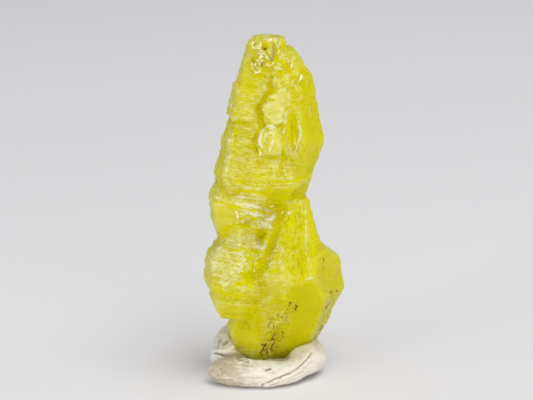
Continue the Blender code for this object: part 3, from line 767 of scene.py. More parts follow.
UPRIGHT = {
    "column": (1.0, [
        (280, 206), (308, 202), (314, 222), (318, 262), (316, 280), (304, 284), (280, 278), (270, 262),
        (276, 236),
    ]),
    "slot_sides": (1.0, [(284, 104), (300, 104), (305, 140), (302, 160), (288, 164), (283, 136)]),
    "right_face": (0.8, [
        (296, 66), (308, 68), (318, 110), (320, 146), (306, 190), (300, 186), (302, 140), (300, 100),
    ]),
}
print(len(BROKEN), "chipped zones,", len(UPRIGHT), "zones of upright lines")

# %% [markdown]
# ## Carve the front
#
# Height, frost and clearness start as plain arrays of zeros, one number for each point, and
# every form of the tables adds its share to them. Nothing moves yet. The points are moved once,
# at the end, because a point that has moved no longer lies where the stencil looked for it.
# The tables say how the forms compare with each other. How deep the carving goes as a whole is
# set here, with one share for each table, so that a table is drawn once and tuned with ease.

# %% Lay every form on the arrays
SOFT_RIM = 0.4
SOFT_GROOVE = 1.2
# the clear shares of grooves and pools also paint them brighter in the colour: painted light
GROOVE_CLEAR_AND_LIT = 0.75
PLATE_RELIEF, PLATE_FROST = 0.4, 0.7
POOL_RELIEF, POOL_CLEAR_AND_LIT = 0.5, 0.6
RIDGE_RELIEF = 0.6
GROOVE_RELIEF = 0.4

height = np.zeros(crystal_net.count)
frost = np.zeros(crystal_net.count)
clear = np.zeros(crystal_net.count)

for tall, white, outline in PLATES.values():
    found, cover = front.patch(outline)
    height[found] += PLATE_RELIEF * tall * cover
    frost[found] += PLATE_FROST * white * cover
for deep, glassy, outline in POOLS.values():
    found, cover = front.patch(outline, SOFT_RIM)
    height[found] -= POOL_RELIEF * deep * cover
    clear[found] = np.maximum(clear[found], POOL_CLEAR_AND_LIT * glassy * cover)
for tall, white, line in RIDGES.values():
    found, cover = front.stroke(line)
    height[found] += RIDGE_RELIEF * tall * cover
    frost[found] += white * cover
for deep, line in GROOVES.values():
    found, cover = front.stroke(line, SOFT_GROOVE)
    height[found] -= GROOVE_RELIEF * deep * cover
    clear[found] = np.maximum(clear[found], GROOVE_CLEAR_AND_LIT * cover)
print("heights from", height.min().round(2), "to", height.max().round(2), "mm")

# %% [markdown]
# ## Smooth faces and rough ones
#
# Some faces of the crystal stopped growing early and stayed smooth: those that look right or
# down, and a few that are drawn in the table. The rest kept adding layers and is rough. The
# back has no drawn forms, so patches of chips are scattered over it by a slow cloud.

# %% Where it is smooth, rough, broken or lined upright
SMOOTH_RIM = 0.3
ZONE_RIM = 0.5
SMOOTH_BY_NATURE = 0.6
RIGHTWARD = (0.5, 0.8)
DOWNWARD = (0.25, 0.5)
BROAD_ROUNDS = 10
CHIPS_BEHIND = 0.25
PATCHES_BEHIND = 0.5

points, broad = crystal_net.points, crystal_net.smoothed(crystal_net.normals, BROAD_ROUNDS)
looks_right = soft_step(*RIGHTWARD, broad[:, 0])
looks_down = soft_step(*DOWNWARD, -broad[:, 2])
by_nature = SMOOTH_BY_NATURE * np.maximum(looks_right, looks_down)
smooth = np.maximum(covered(front, SMOOTH, SMOOTH_RIM), by_nature)
rough = 1 - smooth
behind = 1 - front.facing
upright = covered(front, UPRIGHT, ZONE_RIM)
patches = soft_step(0.0, 0.5, cloud(points, (0.25, 0.25, 0.25), 91.0))
patchy = CHIPS_BEHIND + PATCHES_BEHIND * patches * behind
broken = np.maximum(covered(front, BROKEN, ZONE_RIM), patchy) * rough
print(f"smooth {smooth.mean():.0%}, broken {broken.mean():.0%}, upright {upright.mean():.0%}")

# %% [markdown]
# ## Growth lines and ledges
#
# Sulfur grows in flat layers, so fine lines run level round the crystal on every steep face,
# and below them lie broader ledges. Both follow one number, level, which climbs with height
# but tilts and wavers a little. Noise along level alone gives lines. The points themselves
# are mixed in, so that a line fades and starts again instead of running right round. In the
# upright zones, across takes the place of level. A ledge is a ramp that climbs and then
# drops back, which is the remainder of a division.

# %% Lines along the layers
LINE_WAVES = 1.5
LINE_HEIGHT = 0.045
BREAK_UP = 0.5
LEDGES_PER_MM = 0.8
LEDGE_HEIGHT = 0.07
LEDGE_HEIGHT_BEHIND = 0.12
LEDGE_TOP = 0.8  # the share of a ledge's height at which it drops back
LAYER_TILT = 0.12
UPRIGHT_LEAN = 0.25

x, y, z = points.T
slow, quick = cloud(points, (0.2, 0.2, 0.2), 71.0), cloud(points, (1, 1, 1), 7.0)
level = z + LAYER_TILT * x + 0.6 * slow + 0.12 * quick
slow, quick = cloud(points, (0.35, 0.35, 0.2), 77.0), cloud(points, (1, 1, 1), 9.0)
across = x + UPRIGHT_LEAN * z + 0.5 * slow + 0.1 * quick
phase = LINE_WAVES * (level + upright * (across - level))
along_layers = np.stack([phase, phase * 0, phase * 0], axis=1)
coarse_lines = cloud(along_layers + BREAK_UP * points, (1, 1, 1))
fine_lines = cloud(along_layers * 2 + BREAK_UP * points, (1, 1, 1), 5.0)
lines = coarse_lines + 0.5 * fine_lines
ramp = (LEDGES_PER_MM * level + 0.9 * cloud(points, (0.4, 0.4, 0.4), 5.0)) % 1
ledge = (ramp - soft_step(LEDGE_TOP, 1.0, ramp)) * (1 - upright)
ledge_height = LEDGE_HEIGHT + LEDGE_HEIGHT_BEHIND * behind
height += rough * (LINE_HEIGHT * lines + ledge_height * ledge)
print("ledges from", ledge.min().round(2), "to", ledge.max().round(2))

# %% [markdown]
# ## Chips
#
# Where the surface is broken, it is a mosaic of small flat chips that each lean their own way
# and catch the light one by one. The cells give each point its place in its chip and a random
# direction for the chip. The product of the two is a slope that is flat over one chip and
# jumps at its border, in two sizes. Then all the heights move the points, once.

# %% Two sizes of chip, then the move
CHIPS_PER_MM = 0.85
SMALL_CHIPS_PER_MM = 2.0
CHIP_SLOPE = 0.35
SKIN_DROP = 0.02
ROUGH_DROP = 0.08

places, turns = cells(points, CHIPS_PER_MM, 13.0)
chips = (places * turns).sum(1)
places, turns = cells(points, SMALL_CHIPS_PER_MM, 29.0)
small_chips = (places * turns).sum(1)
height += broken * CHIP_SLOPE * (chips + small_chips)
crystal_net.raise_by(height - SKIN_DROP - ROUGH_DROP * rough)
print("relief from", height.min().round(2), "to", height.max().round(2), "mm")

# %% [markdown]
# ## Frost
#
# Fresh sulfur is clear and deep yellow. Where its skin is etched or bruised, light scatters at
# once and the yellow turns pale. Edges and crests are rubbed the most and hollows the least,
# so frost follows how proud each point stands, with a mottle on top. The result is stored on
# the mesh point by point, together with the other masks, and the material reads it there. A
# texture of the same would need an unwrapped mesh, and would blur where the points are dense.

# %% Paint the crystal's masks
FROST_GROUND = 0.5
FROST_MOTTLE = 0.12
FROST_OF_CHIPS = 0.5
FROST_IN_HOLLOWS = -1.2
FROST_MOST = 1.6
NEAR_ROUNDS, FAR_ROUNDS = 6, 50
NEAR_SHARE = 3

hollow = crystal_net.hollow(NEAR_ROUNDS) * NEAR_SHARE + crystal_net.hollow(FAR_ROUNDS)
mottle = cloud(points, (1.2, 1.2, 1.2), 83.0) + 0.6 * cloud(points, (2.9, 2.9, 2.9), 19.0)
frost += rough * (FROST_GROUND + FROST_MOTTLE * mottle + broken * FROST_OF_CHIPS * turns[:, 0])
frost = np.clip(frost + FROST_IN_HOLLOWS * hollow, 0, FROST_MOST) * (1 - clear)
masks = {"frost": frost, "clear": clear, "rough": rough}
masks |= {"level": level, "across": across, "upright": upright}
for name, values in masks.items():
    crystal_net.paint(name, values)
print("frost", np.percentile(frost, [5, 25, 50, 75, 95]).round(2))

# %% [markdown]
# ## Stains
#
# Dirt from the rock that the crystal grew in has stayed in some of its lines: brown dashes,
# and bands of fine specks near the foot and along the wing. A dash is a stroke, (how dark,
# line). A band is a patch, (how soiled, outline), and the material sprinkles the specks in it.

# %% Dashes and soiled bands
STAINS = {
    "low_dash": (1.0, [(265, 345, 0.9), (263.6, 349, 1.2), (262, 353.5, 0.8)]),
    "low_dash_right": (0.8, [(273.5, 344, 0.6), (272.6, 348, 0.9), (271.2, 352.5, 0.6)]),
    "low_dash_thin": (0.6, [(268.6, 347, 0.5), (266.6, 353.5, 0.5)]),
    "facet_dot": (0.9, [(296.4, 307.2, 0.7), (295.8, 310, 1.1)]),
    "facet_dot_small": (0.6, [(290.5, 302, 0.7), (288.8, 305, 0.8)]),
    "band_dash": (0.55, [(272, 318, 0.6), (270, 323, 0.8), (268, 328, 0.7)]),
    "band_dash_mid": (0.5, [(279, 314.5, 0.8), (277.8, 317, 0.9)]),
    "band_dash_low": (0.6, [(274.8, 333, 0.8), (273, 337, 1.0), (272, 340.5, 0.7)]),
    "band_dash_right": (0.5, [(284.4, 332, 0.5), (282, 338, 0.7)]),
    "wing_streak": (0.6, [(322.6, 257.5, 0.7), (324, 260, 1.0), (324.2, 263.5, 0.7)]),
    "neck_streak": (0.35, [(308.6, 143, 0.9), (306.8, 148, 1.0), (305.8, 152, 0.7)]),
    "column_mark": (0.35, [(275.5, 205.5, 0.7), (277, 208, 0.9)]),
    "wing_dots": (0.6, [(332.8, 291, 0.8), (330.6, 294, 0.7)]),
    "wing_dots_mid": (0.7, [(328.6, 303.5, 0.7), (326.4, 306.5, 1.0), (325.4, 309.5, 0.7)]),
    "wing_dots_low": (0.6, [(322.4, 326, 0.6), (320.6, 330, 0.7)]),
    "left_edge_dots": (0.5, [(215.4, 150.5, 0.5), (214.8, 152, 0.5)]),
    "tip_dots": (0.55, [(262.5, 61, 0.5), (264.4, 63.2, 0.8), (262.8, 66.5, 0.5)]),
    # a dark brown dot laid in the tip's hole
    "tip_hole_dark": (0.75, [(265.0, 48.0, 0.35), (265.5, 48.5, 0.35)]),
    "tip_lump_tan": (0.40, [(273.5, 45, 2.6), (273.2, 51, 4.0), (272, 58.5, 2.6)]),
    "tip_pink": (0.35, [(250, 56, 1.6), (252, 60, 1.8), (258, 64, 1.4)]),
}
SOILED = {
    "facet_band": (0.75, [
        (300, 297), (291, 301), (283, 311), (275, 321), (267, 331), (261, 342), (259, 357),
        (274, 358.5), (281, 347), (286, 333), (291, 318), (296, 307),
    ]),
    "wing_band": (0.9, [
        (344, 283), (335, 290.5), (326, 298), (322, 310), (317, 325), (311, 338), (315, 343),
        (325, 331), (333, 315), (340, 299),
    ]),
    "druse_bed": (0.35, [(250, 52), (262, 49), (268, 56), (268, 66), (262, 70), (252, 66)]),
}
stain = np.zeros(crystal_net.count)
for dark, line in STAINS.values():
    found, cover = front.stroke(line)
    stain[found] = np.maximum(stain[found], dark * cover)
crystal_net.paint("stain", stain)
crystal_net.paint("soiled", covered(front, SOILED, SMOOTH_RIM))
print(len(STAINS), "dashes and", len(SOILED), "soiled bands")

# %% [markdown]
# ## The putty's skin
#
# The putty is a soft white snake, rolled between finger and thumb and curled round the foot.
# Its marks are drawn on a stencil of its own: creases where it was folded, lips beside them,
# and specks of dirt picked up from the table. Under those lie slow lumps from the fingers
# and short level wrinkles from the rolling.

# %% Marks on the putty
PUTTY_CREASES = {
    "pocket": (0.55, [
        (213.5, 353, 0.8), (220, 354, 1.1), (227, 354.5, 1.3), (234, 355.5, 1.6), (241, 357.5, 1.5),
        (248, 360, 0.9),
    ]),
    "pocket_dark": (0.35, [(230, 350, 1.2), (236, 350.5, 1.6), (243, 352, 1.6), (249, 356, 1.0)]),
    "tail_seam": (0.30, [
        (262, 386.5, 0.6), (270, 383, 0.8), (279, 379, 0.9), (288, 374.5, 0.9), (296, 369.5, 1.0),
        (303, 363.5, 0.9), (308, 357, 0.8), (312, 351.5, 0.7),
    ]),
    "underside_line": (0.10, [(212, 379.5, 0.5), (222, 380.5, 0.7), (232, 380.5, 0.6)]),
    "dent_left": (0.16, [(221.5, 368, 0.6), (221.8, 372, 0.9), (222, 375, 0.6)]),
    "dent_left_2": (0.14, [(224.4, 371, 0.9), (224, 373.4, 0.8)]),
    "dent_mid": (0.10, [(266, 370.5, 0.8), (269, 369, 0.9)]),
    "thumb_line": (0.06, [(213, 364, 0.4), (222, 362.5, 0.6), (236, 363.5, 0.7), (252, 366, 0.5)]),
    "thumb_line_2": (0.05, [(236, 368, 0.4), (250, 370.5, 0.6), (264, 371.5, 0.5)]),
    "thumb_line_3": (0.05, [(229, 376.5, 0.4), (246, 378.5, 0.6), (262, 378, 0.5)]),
    "right_line": (0.06, [(300, 371, 0.4), (309, 365.5, 0.6), (317, 358, 0.5)]),
    "right_line_2": (0.05, [(288, 379, 0.4), (299, 374.5, 0.6), (309, 369, 0.5)]),
    "hump_line": (0.10, [(219, 337, 0.5), (217.5, 342, 0.7), (217, 348, 0.6)]),
    "hump_line_2": (0.08, [(226, 334, 0.5), (223, 340, 0.7), (222, 347, 0.5)]),
    "front_dip": (0.12, [(243, 363, 1.8), (252, 364, 2.6), (262, 364, 2.2)]),
}
PUTTY_RIDGES = {
    "tail_lip": (0.14, [
        (266, 386.5, 0.6), (276, 382.5, 0.9), (287, 377.5, 1.0), (297, 372, 1.1), (304.5, 366, 1.0),
        (310.5, 358.5, 0.9),
    ]),
    "end_fold": (0.12, [(212, 357, 0.8), (209.5, 362, 1.3), (209.5, 368, 1.2)]),
    "hump_fold": (0.12, [(216, 350, 0.8), (224, 350.5, 1.2), (231, 347, 1.0)]),
}
PUTTY_SPECKS = {
    "left_specks": (0.8, [(223.6, 369.5, 0.5), (224.2, 372.6, 0.9), (223.8, 374, 0.6)]),
    "left_dash": (0.7, [(221.2, 368.5, 0.3), (221.6, 373, 0.4)]),
    "left_low": (0.7, [(225, 377.2, 0.6), (226, 377.8, 0.7)]),
    "left_low_2": (0.5, [(218, 375, 0.6), (219, 375.6, 0.5)]),
    "left_dot": (0.5, [(230, 370.4, 0.7), (230.5, 371, 0.6)]),
    "mid_speck": (0.8, [(266, 369.9, 0.6), (268.4, 369.4, 0.7), (270, 369, 0.4)]),
    "mid_fleck": (0.3, [(243, 368.6, 0.4), (246, 370, 0.5)]),
    "rim_fleck": (0.4, [(314, 340.4, 0.5), (317, 339, 0.5)]),
}
print(len(PUTTY_CREASES), "creases,", len(PUTTY_RIDGES), "lips,", len(PUTTY_SPECKS), "specks")

# %% Roll, fold and dent it
SOFT_LIP = 1.6
SOFT_SPECK = 1.4
LUMP, SMALL_LUMP, WRINKLE = 0.14, 0.05, 0.03
PUTTY_DROP = 0.1

putty_front = Stencil(putty_net, waver=0.12)
dented = np.zeros(putty_net.count)
specks = np.zeros(putty_net.count)
for tall, line in PUTTY_RIDGES.values():
    found, cover = putty_front.stroke(line, SOFT_LIP)
    dented[found] += tall * cover
for deep, line in PUTTY_CREASES.values():
    found, cover = putty_front.stroke(line, SOFT_GROOVE)
    dented[found] -= deep * cover
for dark, line in PUTTY_SPECKS.values():
    found, cover = putty_front.stroke(line, SOFT_SPECK)
    specks[found] = np.maximum(specks[found], dark * cover)
dented += LUMP * cloud(putty_net.points, (0.35, 0.35, 0.35), 3.0)
dented += SMALL_LUMP * cloud(putty_net.points, (1.3, 1.3, 1.3), 8.0)
dented += WRINKLE * cloud(putty_net.points, (1.2, 1.2, 4.0), 15.0)
putty_net.raise_by(dented - PUTTY_DROP)
print("dents from", dented.min().round(2), "to", dented.max().round(2), "mm")

# %% [markdown]
# ## Press the putty on the crystal
#
# Putty holds because it is pressed on. The carving has left gaps of a few tenths between the
# two, which would show as dark slits. A BVH tree answers the question "what is the nearest
# point of the crystal?" quickly, and each putty point that is near enough moves towards its
# answer: all the way when it is close, less and less when it is farther off. The same gap
# says where the putty is painted yellow: a painted glow of the yellow light that the crystal
# throws on the putty next to it.

# %% Close the gaps
PRESSED_FROM = 1.7
PRESSED_HOME = 0.5
GLOW_UNTIL = 0.4

skin = BVHTree.FromPolygons(
    [tuple(place) for place in crystal_net.points],
    [tuple(face.vertices) for face in crystal.data.polygons],
)
pressed = putty_net.points.copy()
yellow_glow = np.zeros(putty_net.count)
for i, place in enumerate(putty_net.points):
    nearest, _, _, gap = skin.find_nearest(place, PRESSED_FROM)
    if nearest:
        yellow_glow[i] = 1 - soft_step(GLOW_UNTIL, PRESSED_FROM, gap)
        pressed[i] += (np.array(nearest) - place) * (1 - soft_step(PRESSED_HOME, PRESSED_FROM, gap))
print("pressed against the crystal:", int((pressed != putty_net.points).any(1).sum()), "points")
putty_net.move(pressed)

# %% [markdown]
# The masks of the putty are its hollows, its specks, a painted yellow glow next to the crystal,
# and a painted shade: the left end, towards us, is drawn greyer than the rest, where the
# crystal's shadow falls.

# %% Paint the putty's masks
LEFT_SHADE = 0.65
LEFT_SHADE_RAMP = (0.0, 6.0)
LEFT_SHADE_FRONT = (-4.0, -1.5)
FOLD_ROUNDS = 25

x, y, z = putty_net.points.T
leftward = -x + cloud(putty_net.points, (0.4, 0.4, 0.4), 27.0)
# painted shade: the front of the left end is greyed for the crystal's shadow
left_shade = LEFT_SHADE * soft_step(*LEFT_SHADE_RAMP, leftward) * (1 - soft_step(*LEFT_SHADE_FRONT, y))
folds = putty_net.hollow(FOLD_ROUNDS)
masks = {"hollow": folds, "specks": specks, "yellow_glow": yellow_glow, "left_shade": left_shade}
for name, values in masks.items():
    putty_net.paint(name, values)
print("masks on the putty:", ", ".join(masks))

# %% [markdown]
# ## The little crystals, and pale rods as painted glints
#
# The main crystal has a second growth on it: blunt little crystals, paler than it, fanned out
# at the tip. The same pale rods also stand, as painted highlights, where the skin shows a glint:
# on the shoulder, the left rim, the waist, the trough, the slot, the boss and the column's foot.
# Each is a rod of a few sides with a bevelled end. A row says (across, down, length, width,
# lean in degrees) for the middle of a rod, in squares.

# %% Where the little crystals sit
DRUSE_AND_GLINT_RODS = {
    "tip_pair": [(253.6, 45, 5, 4.4, -14), (257, 46, 3.4, 3, 10), (260, 44.6, 5, 4.2, 14)],
    "tip_edge": [(265.8, 36.5, 3.5, 2.6, 70), (270.4, 40.5, 3.5, 2.6, 60)],
    "fan": [
        (261.6, 51.8, 4, 3, -25), (264.3, 53.8, 4.4, 3.2, -32), (266.6, 56.8, 4, 3, -30),
        (261.3, 56.5, 3, 2.6, 20), (261.6, 60.8, 3.4, 3, 40), (258.2, 60.6, 2.8, 2.6, -60),
    ],
    "ring": [
        (251.8, 64.6, 4, 3, 5), (252.8, 69, 3.8, 3, -15), (255.6, 72.4, 3.4, 3, -40),
        (259, 72.8, 3.2, 2.8, -80), (260.6, 69.8, 3, 2.6, 30), (255.6, 64, 2.8, 2.6, 40),
    ],
    "ring_right": [(266.9, 64.9, 3, 2.8, 70), (270.6, 65.4, 3.2, 2.8, 50), (273.6, 63.6, 2.8, 2.6, 20)],
    "tip_right": [
        (279.4, 43, 3.4, 3, 30), (279, 51.5, 4.2, 2.4, 0), (288, 60, 3.8, 2.2, -30),
        (291.7, 64.7, 5, 2.6, 5),
    ],
    # from here on the rods are painted highlights: pale rods set where the skin shows a glint
    "shoulder": [(300.8, 76.7, 5, 2.4, 8), (296.5, 88.5, 3.4, 2, 20), (309, 110.5, 8, 1.3, 3)],
    "left_rim": [(231.8, 104.7, 3, 2, 40), (216.2, 198, 3, 2, 20)],
    "waist": [
        (237, 215, 7, 2.6, -15), (283, 212, 3.4, 2, 40), (288.5, 213, 3.6, 2.2, -25),
        (272, 206, 3.4, 2.2, 60), (264, 216, 3.2, 2, 70),
    ],
    "trough": [
        (248, 255, 2.8, 2, 30), (272, 256, 4, 2.2, 25), (268, 259, 3, 2, -30), (254, 270, 2.8, 1.8, 0),
        (276, 250, 3.2, 2, 50), (280, 262, 3, 2, 10),
    ],
    "slot_right": [(297.6, 143.6, 8, 1.3, 8), (300.2, 138, 7, 1.2, 5)],
    "boss": [(270, 147, 6, 2.2, 20), (259.4, 150.7, 6, 1.5, -20)],
    "column_foot": [(309.6, 278, 3.5, 2.4, 50)],
}
print(sum(len(group) for group in DRUSE_AND_GLINT_RODS.values()), "little crystals drawn")

# %% [markdown]
# A rod is four rings of corners joined by faces: a narrower foot, sunk in the skin, two full
# rings, and a small one at the end for the bevel. Random turns keep two rods from facing the
# same way. They are seeded, so that every run grows the same ones.

# %% One rod
RODS = random.Random(11)
ROD_SIDES = 5
ROD_RINGS = ((-0.3, 0.8), (0.15, 1.0), (0.72, 0.9), (1.0, 0.35))


def rod(bm, root, along, out, length, width):
    """A blunt rod of a few flat sides, its foot sunk in the skin."""
    sideways = along.cross(out).normalized()
    outward = sideways.cross(along)
    turn = RODS.uniform(0, 2 * math.pi)
    rings = []
    for reach, share in ROD_RINGS:
        ring = []
        for side in range(ROD_SIDES):
            angle = turn + 2 * math.pi * side / ROD_SIDES
            arm = sideways * math.cos(angle) + outward * math.sin(angle)
            corner = root + along * length * reach + arm * width * share / 2
            ring.append(bm.verts.new(to_frame(np.clip(corner, LOWEST, HIGHEST))))
        rings.append(ring)
    for low, high in zip(rings, rings[1:]):
        for side in range(ROD_SIDES):
            after = (side + 1) % ROD_SIDES
            bm.faces.new((low[side], low[after], high[after], high[side]))
    bm.faces.new(rings[0][::-1])
    bm.faces.new(rings[-1])


print("corners in a rod:", ROD_SIDES * len(ROD_RINGS))

# %% [markdown]
# A ray through the stencil finds the skin that each rod grows on, so a rod never floats. Its
# normal tilts the rod outwards. All the rods are joined in one mesh: hundreds of objects would
# be slow, and nobody moves one grain of a crystal on its own.

# %% Grow them on the skin
LEAN_BY_CHANCE = 8
LEAN_OUTWARDS = 0.35


def on_skin(across, up):
    """Where a ray from the camera through this place on the stencil meets the skin."""
    in_plane = Vector((across, 0, 0)) + CAMERA_UP * (up + STENCIL_FOOT[1])
    place, normal, _, _ = skin.ray_cast(CAMERA_PLACE, AIM + in_plane - CAMERA_PLACE)
    return place, normal


bm = bmesh.new()
lost = 0
for *row, length, width, lean in [each for group in DRUSE_AND_GLINT_RODS.values() for each in group]:
    across, up, width = drawn([(*row, width)])[0]
    length = round(length * SQUARE, 1)
    root, normal = on_skin(across, up)
    if root is None:
        lost += 1
        continue
    lean = math.radians(lean + RODS.uniform(-LEAN_BY_CHANCE, LEAN_BY_CHANCE))
    along = Vector((math.sin(lean), 0, 0)) + CAMERA_UP * math.cos(lean)
    along = (along + normal * LEAN_OUTWARDS).normalized()
    rod(bm, root - along * length / 2, along, normal, length, width)
druse_and_glint_rods = bpy.data.objects.new("sulfur_druse_and_glint_rods", bpy.data.meshes.new("sulfur_druse_and_glint_rods"))
bpy.context.scene.collection.objects.link(druse_and_glint_rods)
bmesh.ops.recalc_face_normals(bm, faces=bm.faces)
bm.to_mesh(druse_and_glint_rods.data)
bm.free()
print(len(druse_and_glint_rods.data.vertices) // (ROD_SIDES * len(ROD_RINGS)), "little crystals,", lost, "off the skin")

# %% [markdown]
# ## Shader maths that reads like maths
#
# A material in Blender is a graph of nodes. Built by hand in Python, even 1 - mask takes four
# lines, so we wrap an output socket in a small class, Signal, that knows +, -, * and friends.
# Every operator adds one Math node. Colours must not go through Math nodes, which would turn
# them grey: those use a Mix node.

# %% A socket that can be added and multiplied
class Signal:
    """One number that varies over a surface: the output socket of a node."""

    def __init__(self, finish, socket):
        self.finish = finish
        self.socket = socket

    def maths(self, operation, *values):
        return self.finish.node("ShaderNodeMath", {"operation": operation}, dict(enumerate(values)))

    def __add__(self, other):
        return self.maths("ADD", self, other)

    def __sub__(self, other):
        return self.maths("SUBTRACT", self, other)

    def __rsub__(self, other):
        return self.maths("SUBTRACT", other, self)

    def __mul__(self, other):
        return self.maths("MULTIPLY", self, other)

    __radd__ = __add__
    __rmul__ = __mul__

    def between(self, low, high):
        """0 below low, 1 above high, and a soft step from one to the other."""
        settings = {"interpolation_type": "SMOOTHSTEP"}
        sockets = {"Value": self, "From Min": low, "From Max": high}
        return self.finish.node("ShaderNodeMapRange", settings, sockets, "Result")


print("helper ready:", Signal.__name__)


# %% [markdown]
# The second helper is the material itself. Its node method takes a node's type, its settings,
# which are set first because they can change which sockets the node has, and the values or
# signals of its sockets.

# %% A material that nodes are added to
class Finish:
    """A material with one Principled shader, and a short way to add nodes to it."""

    def __init__(self, name):
        self.material = bpy.data.materials.new(name)
        self.material.use_nodes = True
        self.tree = self.material.node_tree
        self.shader = self.tree.nodes["Principled BSDF"]

    def fill(self, node, sockets):
        for key, value in sockets.items():
            if isinstance(value, Signal):
                self.tree.links.new(value.socket, node.inputs[key])
            else:
                node.inputs[key].default_value = value

    def node(self, kind, settings, sockets, output=0):
        made = self.tree.nodes.new(kind)
        for key, value in settings.items():
            setattr(made, key, value)
        self.fill(made, sockets)
        return Signal(self, made.outputs[output])

    def surface(self, **sockets):
        """Sets the shader's own sockets, with _ for each space in a name: Base_Color=..."""
        self.fill(self.shader, {name.replace("_", " "): value for name, value in sockets.items()})

    def places(self):
        """Where each point is, in the object's own metres."""
        return self.node("ShaderNodeTexCoord", {}, {}, "Object")

    def painted(self, name):
        """A value stored on the mesh, point by point."""
        return self.node("ShaderNodeAttribute", {"attribute_name": name}, {}, "Fac")

    def mapped(self, places, scale, turn=(0, 0, 0)):
        """The same places, turned, then drawn out or pressed together along x, y and z."""
        return self.node("ShaderNodeMapping", {}, {"Vector": places, "Rotation": turn, "Scale": scale})

    def grain(self, places, per_metre, detail=2.0, roughness=0.5, distortion=0.0):
        """Cloudy noise, with this many blobs to the metre."""
        sockets = {"Vector": places, "Scale": per_metre, "Detail": detail, "Roughness": roughness}
        return self.node("ShaderNodeTexNoise", {}, {**sockets, "Distortion": distortion}, "Fac")

    def lines(self, phase, per_unit):
        """Lines across a value that climbs over the surface, unevenly spaced and never straight."""
        sockets = {"W": phase, "Scale": per_unit, "Detail": 2.0, "Roughness": 0.6}
        return self.node("ShaderNodeTexNoise", {"noise_dimensions": "1D"}, sockets, "Fac")

    def blend(self, share, first, second):
        """Two colours mixed, with this share of the second."""
        return self.node("ShaderNodeMix", {"data_type": "RGBA"}, {"Factor": share, 6: first, 7: second}, 2)

    def bump(self, height, distance, strength=1.0):
        """A fine relief that only the light sees."""
        sockets = {"Height": height, "Distance": distance, "Strength": strength}
        return self.node("ShaderNodeBump", {}, sockets, "Normal")


def srgb(red, green, blue):
    """A screen colour, 0 to 255, as the linear colour that a shader wants."""
    shares = (value / 255 for value in (red, green, blue))
    linear = [share / 12.92 if share <= 0.04045 else ((share + 0.055) / 1.055) ** 2.4 for share in shares]
    return (*linear, 1.0)


print("helper ready:", Finish.__name__)

# %% [markdown]
# ## Sulfur: fine marks
#
# The relief holds what is larger than two tenths of a millimetre. Below that the skin still
# has scratches along the growth lines, too fine for points, so the material draws them, and it
# paints glints beside them: pale flecks in the colour, which are painted highlights. Lines of
# noise follow level and across, which the mesh carries. Dashes are the same noise pressed flat
# or drawn tall, and upright says which of the two is shown.

# %% Lines, dashes and blotches
sulfur = Finish("sulfur")
sulfur_places = sulfur.places()
frosted = sulfur.painted("frost")
rough_share = sulfur.painted("rough")
clear_and_lit_share = sulfur.painted("clear")
wander = sulfur.grain(sulfur_places, 1500, 1.0) * 0.25
level_lines = sulfur.lines(sulfur.painted("level") + wander, 4.5)
upright_lines = sulfur.lines(sulfur.painted("across") + wander, 4.0)
level_dashes = sulfur.grain(sulfur.mapped(sulfur_places, (1.0, 1.0, 2.6)), 1900, 2.0, 0.6)
upright_dashes = sulfur.grain(sulfur.mapped(sulfur_places, (3.2, 3.2, 1.0)), 1300, 2.0, 0.6)
level_marks = level_lines * 0.35 + level_dashes * 0.65
upright_marks = upright_lines * 0.3 + upright_dashes * 0.7
marks = level_marks + sulfur.painted("upright") * (upright_marks - level_marks)
blotches = sulfur.grain(sulfur_places, 2600, 3.0, 0.65)
scratches = (0.5 - marks).between(0.01, 0.09)
# painted highlights: pale flecks that raise the veil where the marks are high
glints = (marks - 0.5).between(0.06, 0.12)
print("nodes so far:", len(sulfur.tree.nodes))

# %% [markdown]
# ## Sulfur: colour
#
# Veil is the frost of the mesh with the fine marks laid over it. It picks the colour: where the
# fine marks push it below zero on bare skin, a darker yellow, which is painted shade in small
# crevices; deep yellow where the skin is bare; pale yellow where it is frosted; and nearly white
# where it is frosted most, which is partly white bruising and partly painted highlights from the
# glints and the glint ridges. Its square keeps the deep yellow deep until there is a good deal
# of frost. Under the veil, smooth faces get a slightly darker yellow, painted shade as well as
# glassy depth, and clear grooves and pools a brighter one, painted light. Over it the scratches
# get a second, olive painted shade. Dirt comes last, over everything.

# %% From deep yellow to white
# painted shade: the darker yellow of small crevices
crevice_shade_yellow = srgb(172, 162, 0)
# partly painted shade: the darker yellow of smooth faces, which are mostly those turned right and down
smooth_face_shade_yellow = srgb(207, 199, 0)
deep_yellow = srgb(213, 205, 0)
# painted light: a brighter yellow for clear grooves and pools
painted_lit_yellow = srgb(226, 219, 0)
# painted shade along the scratches
shaded_yellow = srgb(176, 166, 24)
frosted_yellow = srgb(224, 218, 142)
# partly painted highlight, for glints and glint ridges, and partly white bruising
bruise_and_glint_white = srgb(240, 238, 205)
dirt_brown = srgb(128, 94, 44)

ripple = glints * 0.4 - scratches * 0.4 + (blotches - 0.5) * 0.9
graininess = rough_share * rough_share
ripple = ripple * graininess * (1 - clear_and_lit_share)
veil = frosted + ripple * (0.35 + 0.65 * frosted.between(0.0, 0.3))
cloudy = veil.between(0.0, 1.1)
speck_places = sulfur.mapped(sulfur_places, (1.5, 1.5, 0.3), (0, math.radians(-18), 0))
speckle = sulfur.grain(speck_places, 3800, 2.0, 0.6).between(0.53, 0.66)
dirt = (sulfur.painted("soiled") * speckle + sulfur.painted("stain")).between(0.1, 0.75)

# partly painted shade, against the light from the right, and partly glassy depth: smooth faces, mostly
# those turned right and down, get the darker yellow
colour = sulfur.blend(rough_share, smooth_face_shade_yellow, deep_yellow)
# painted light: clear grooves and pools get a brighter yellow, against the shade that lies in them
colour = sulfur.blend(clear_and_lit_share, colour, painted_lit_yellow)
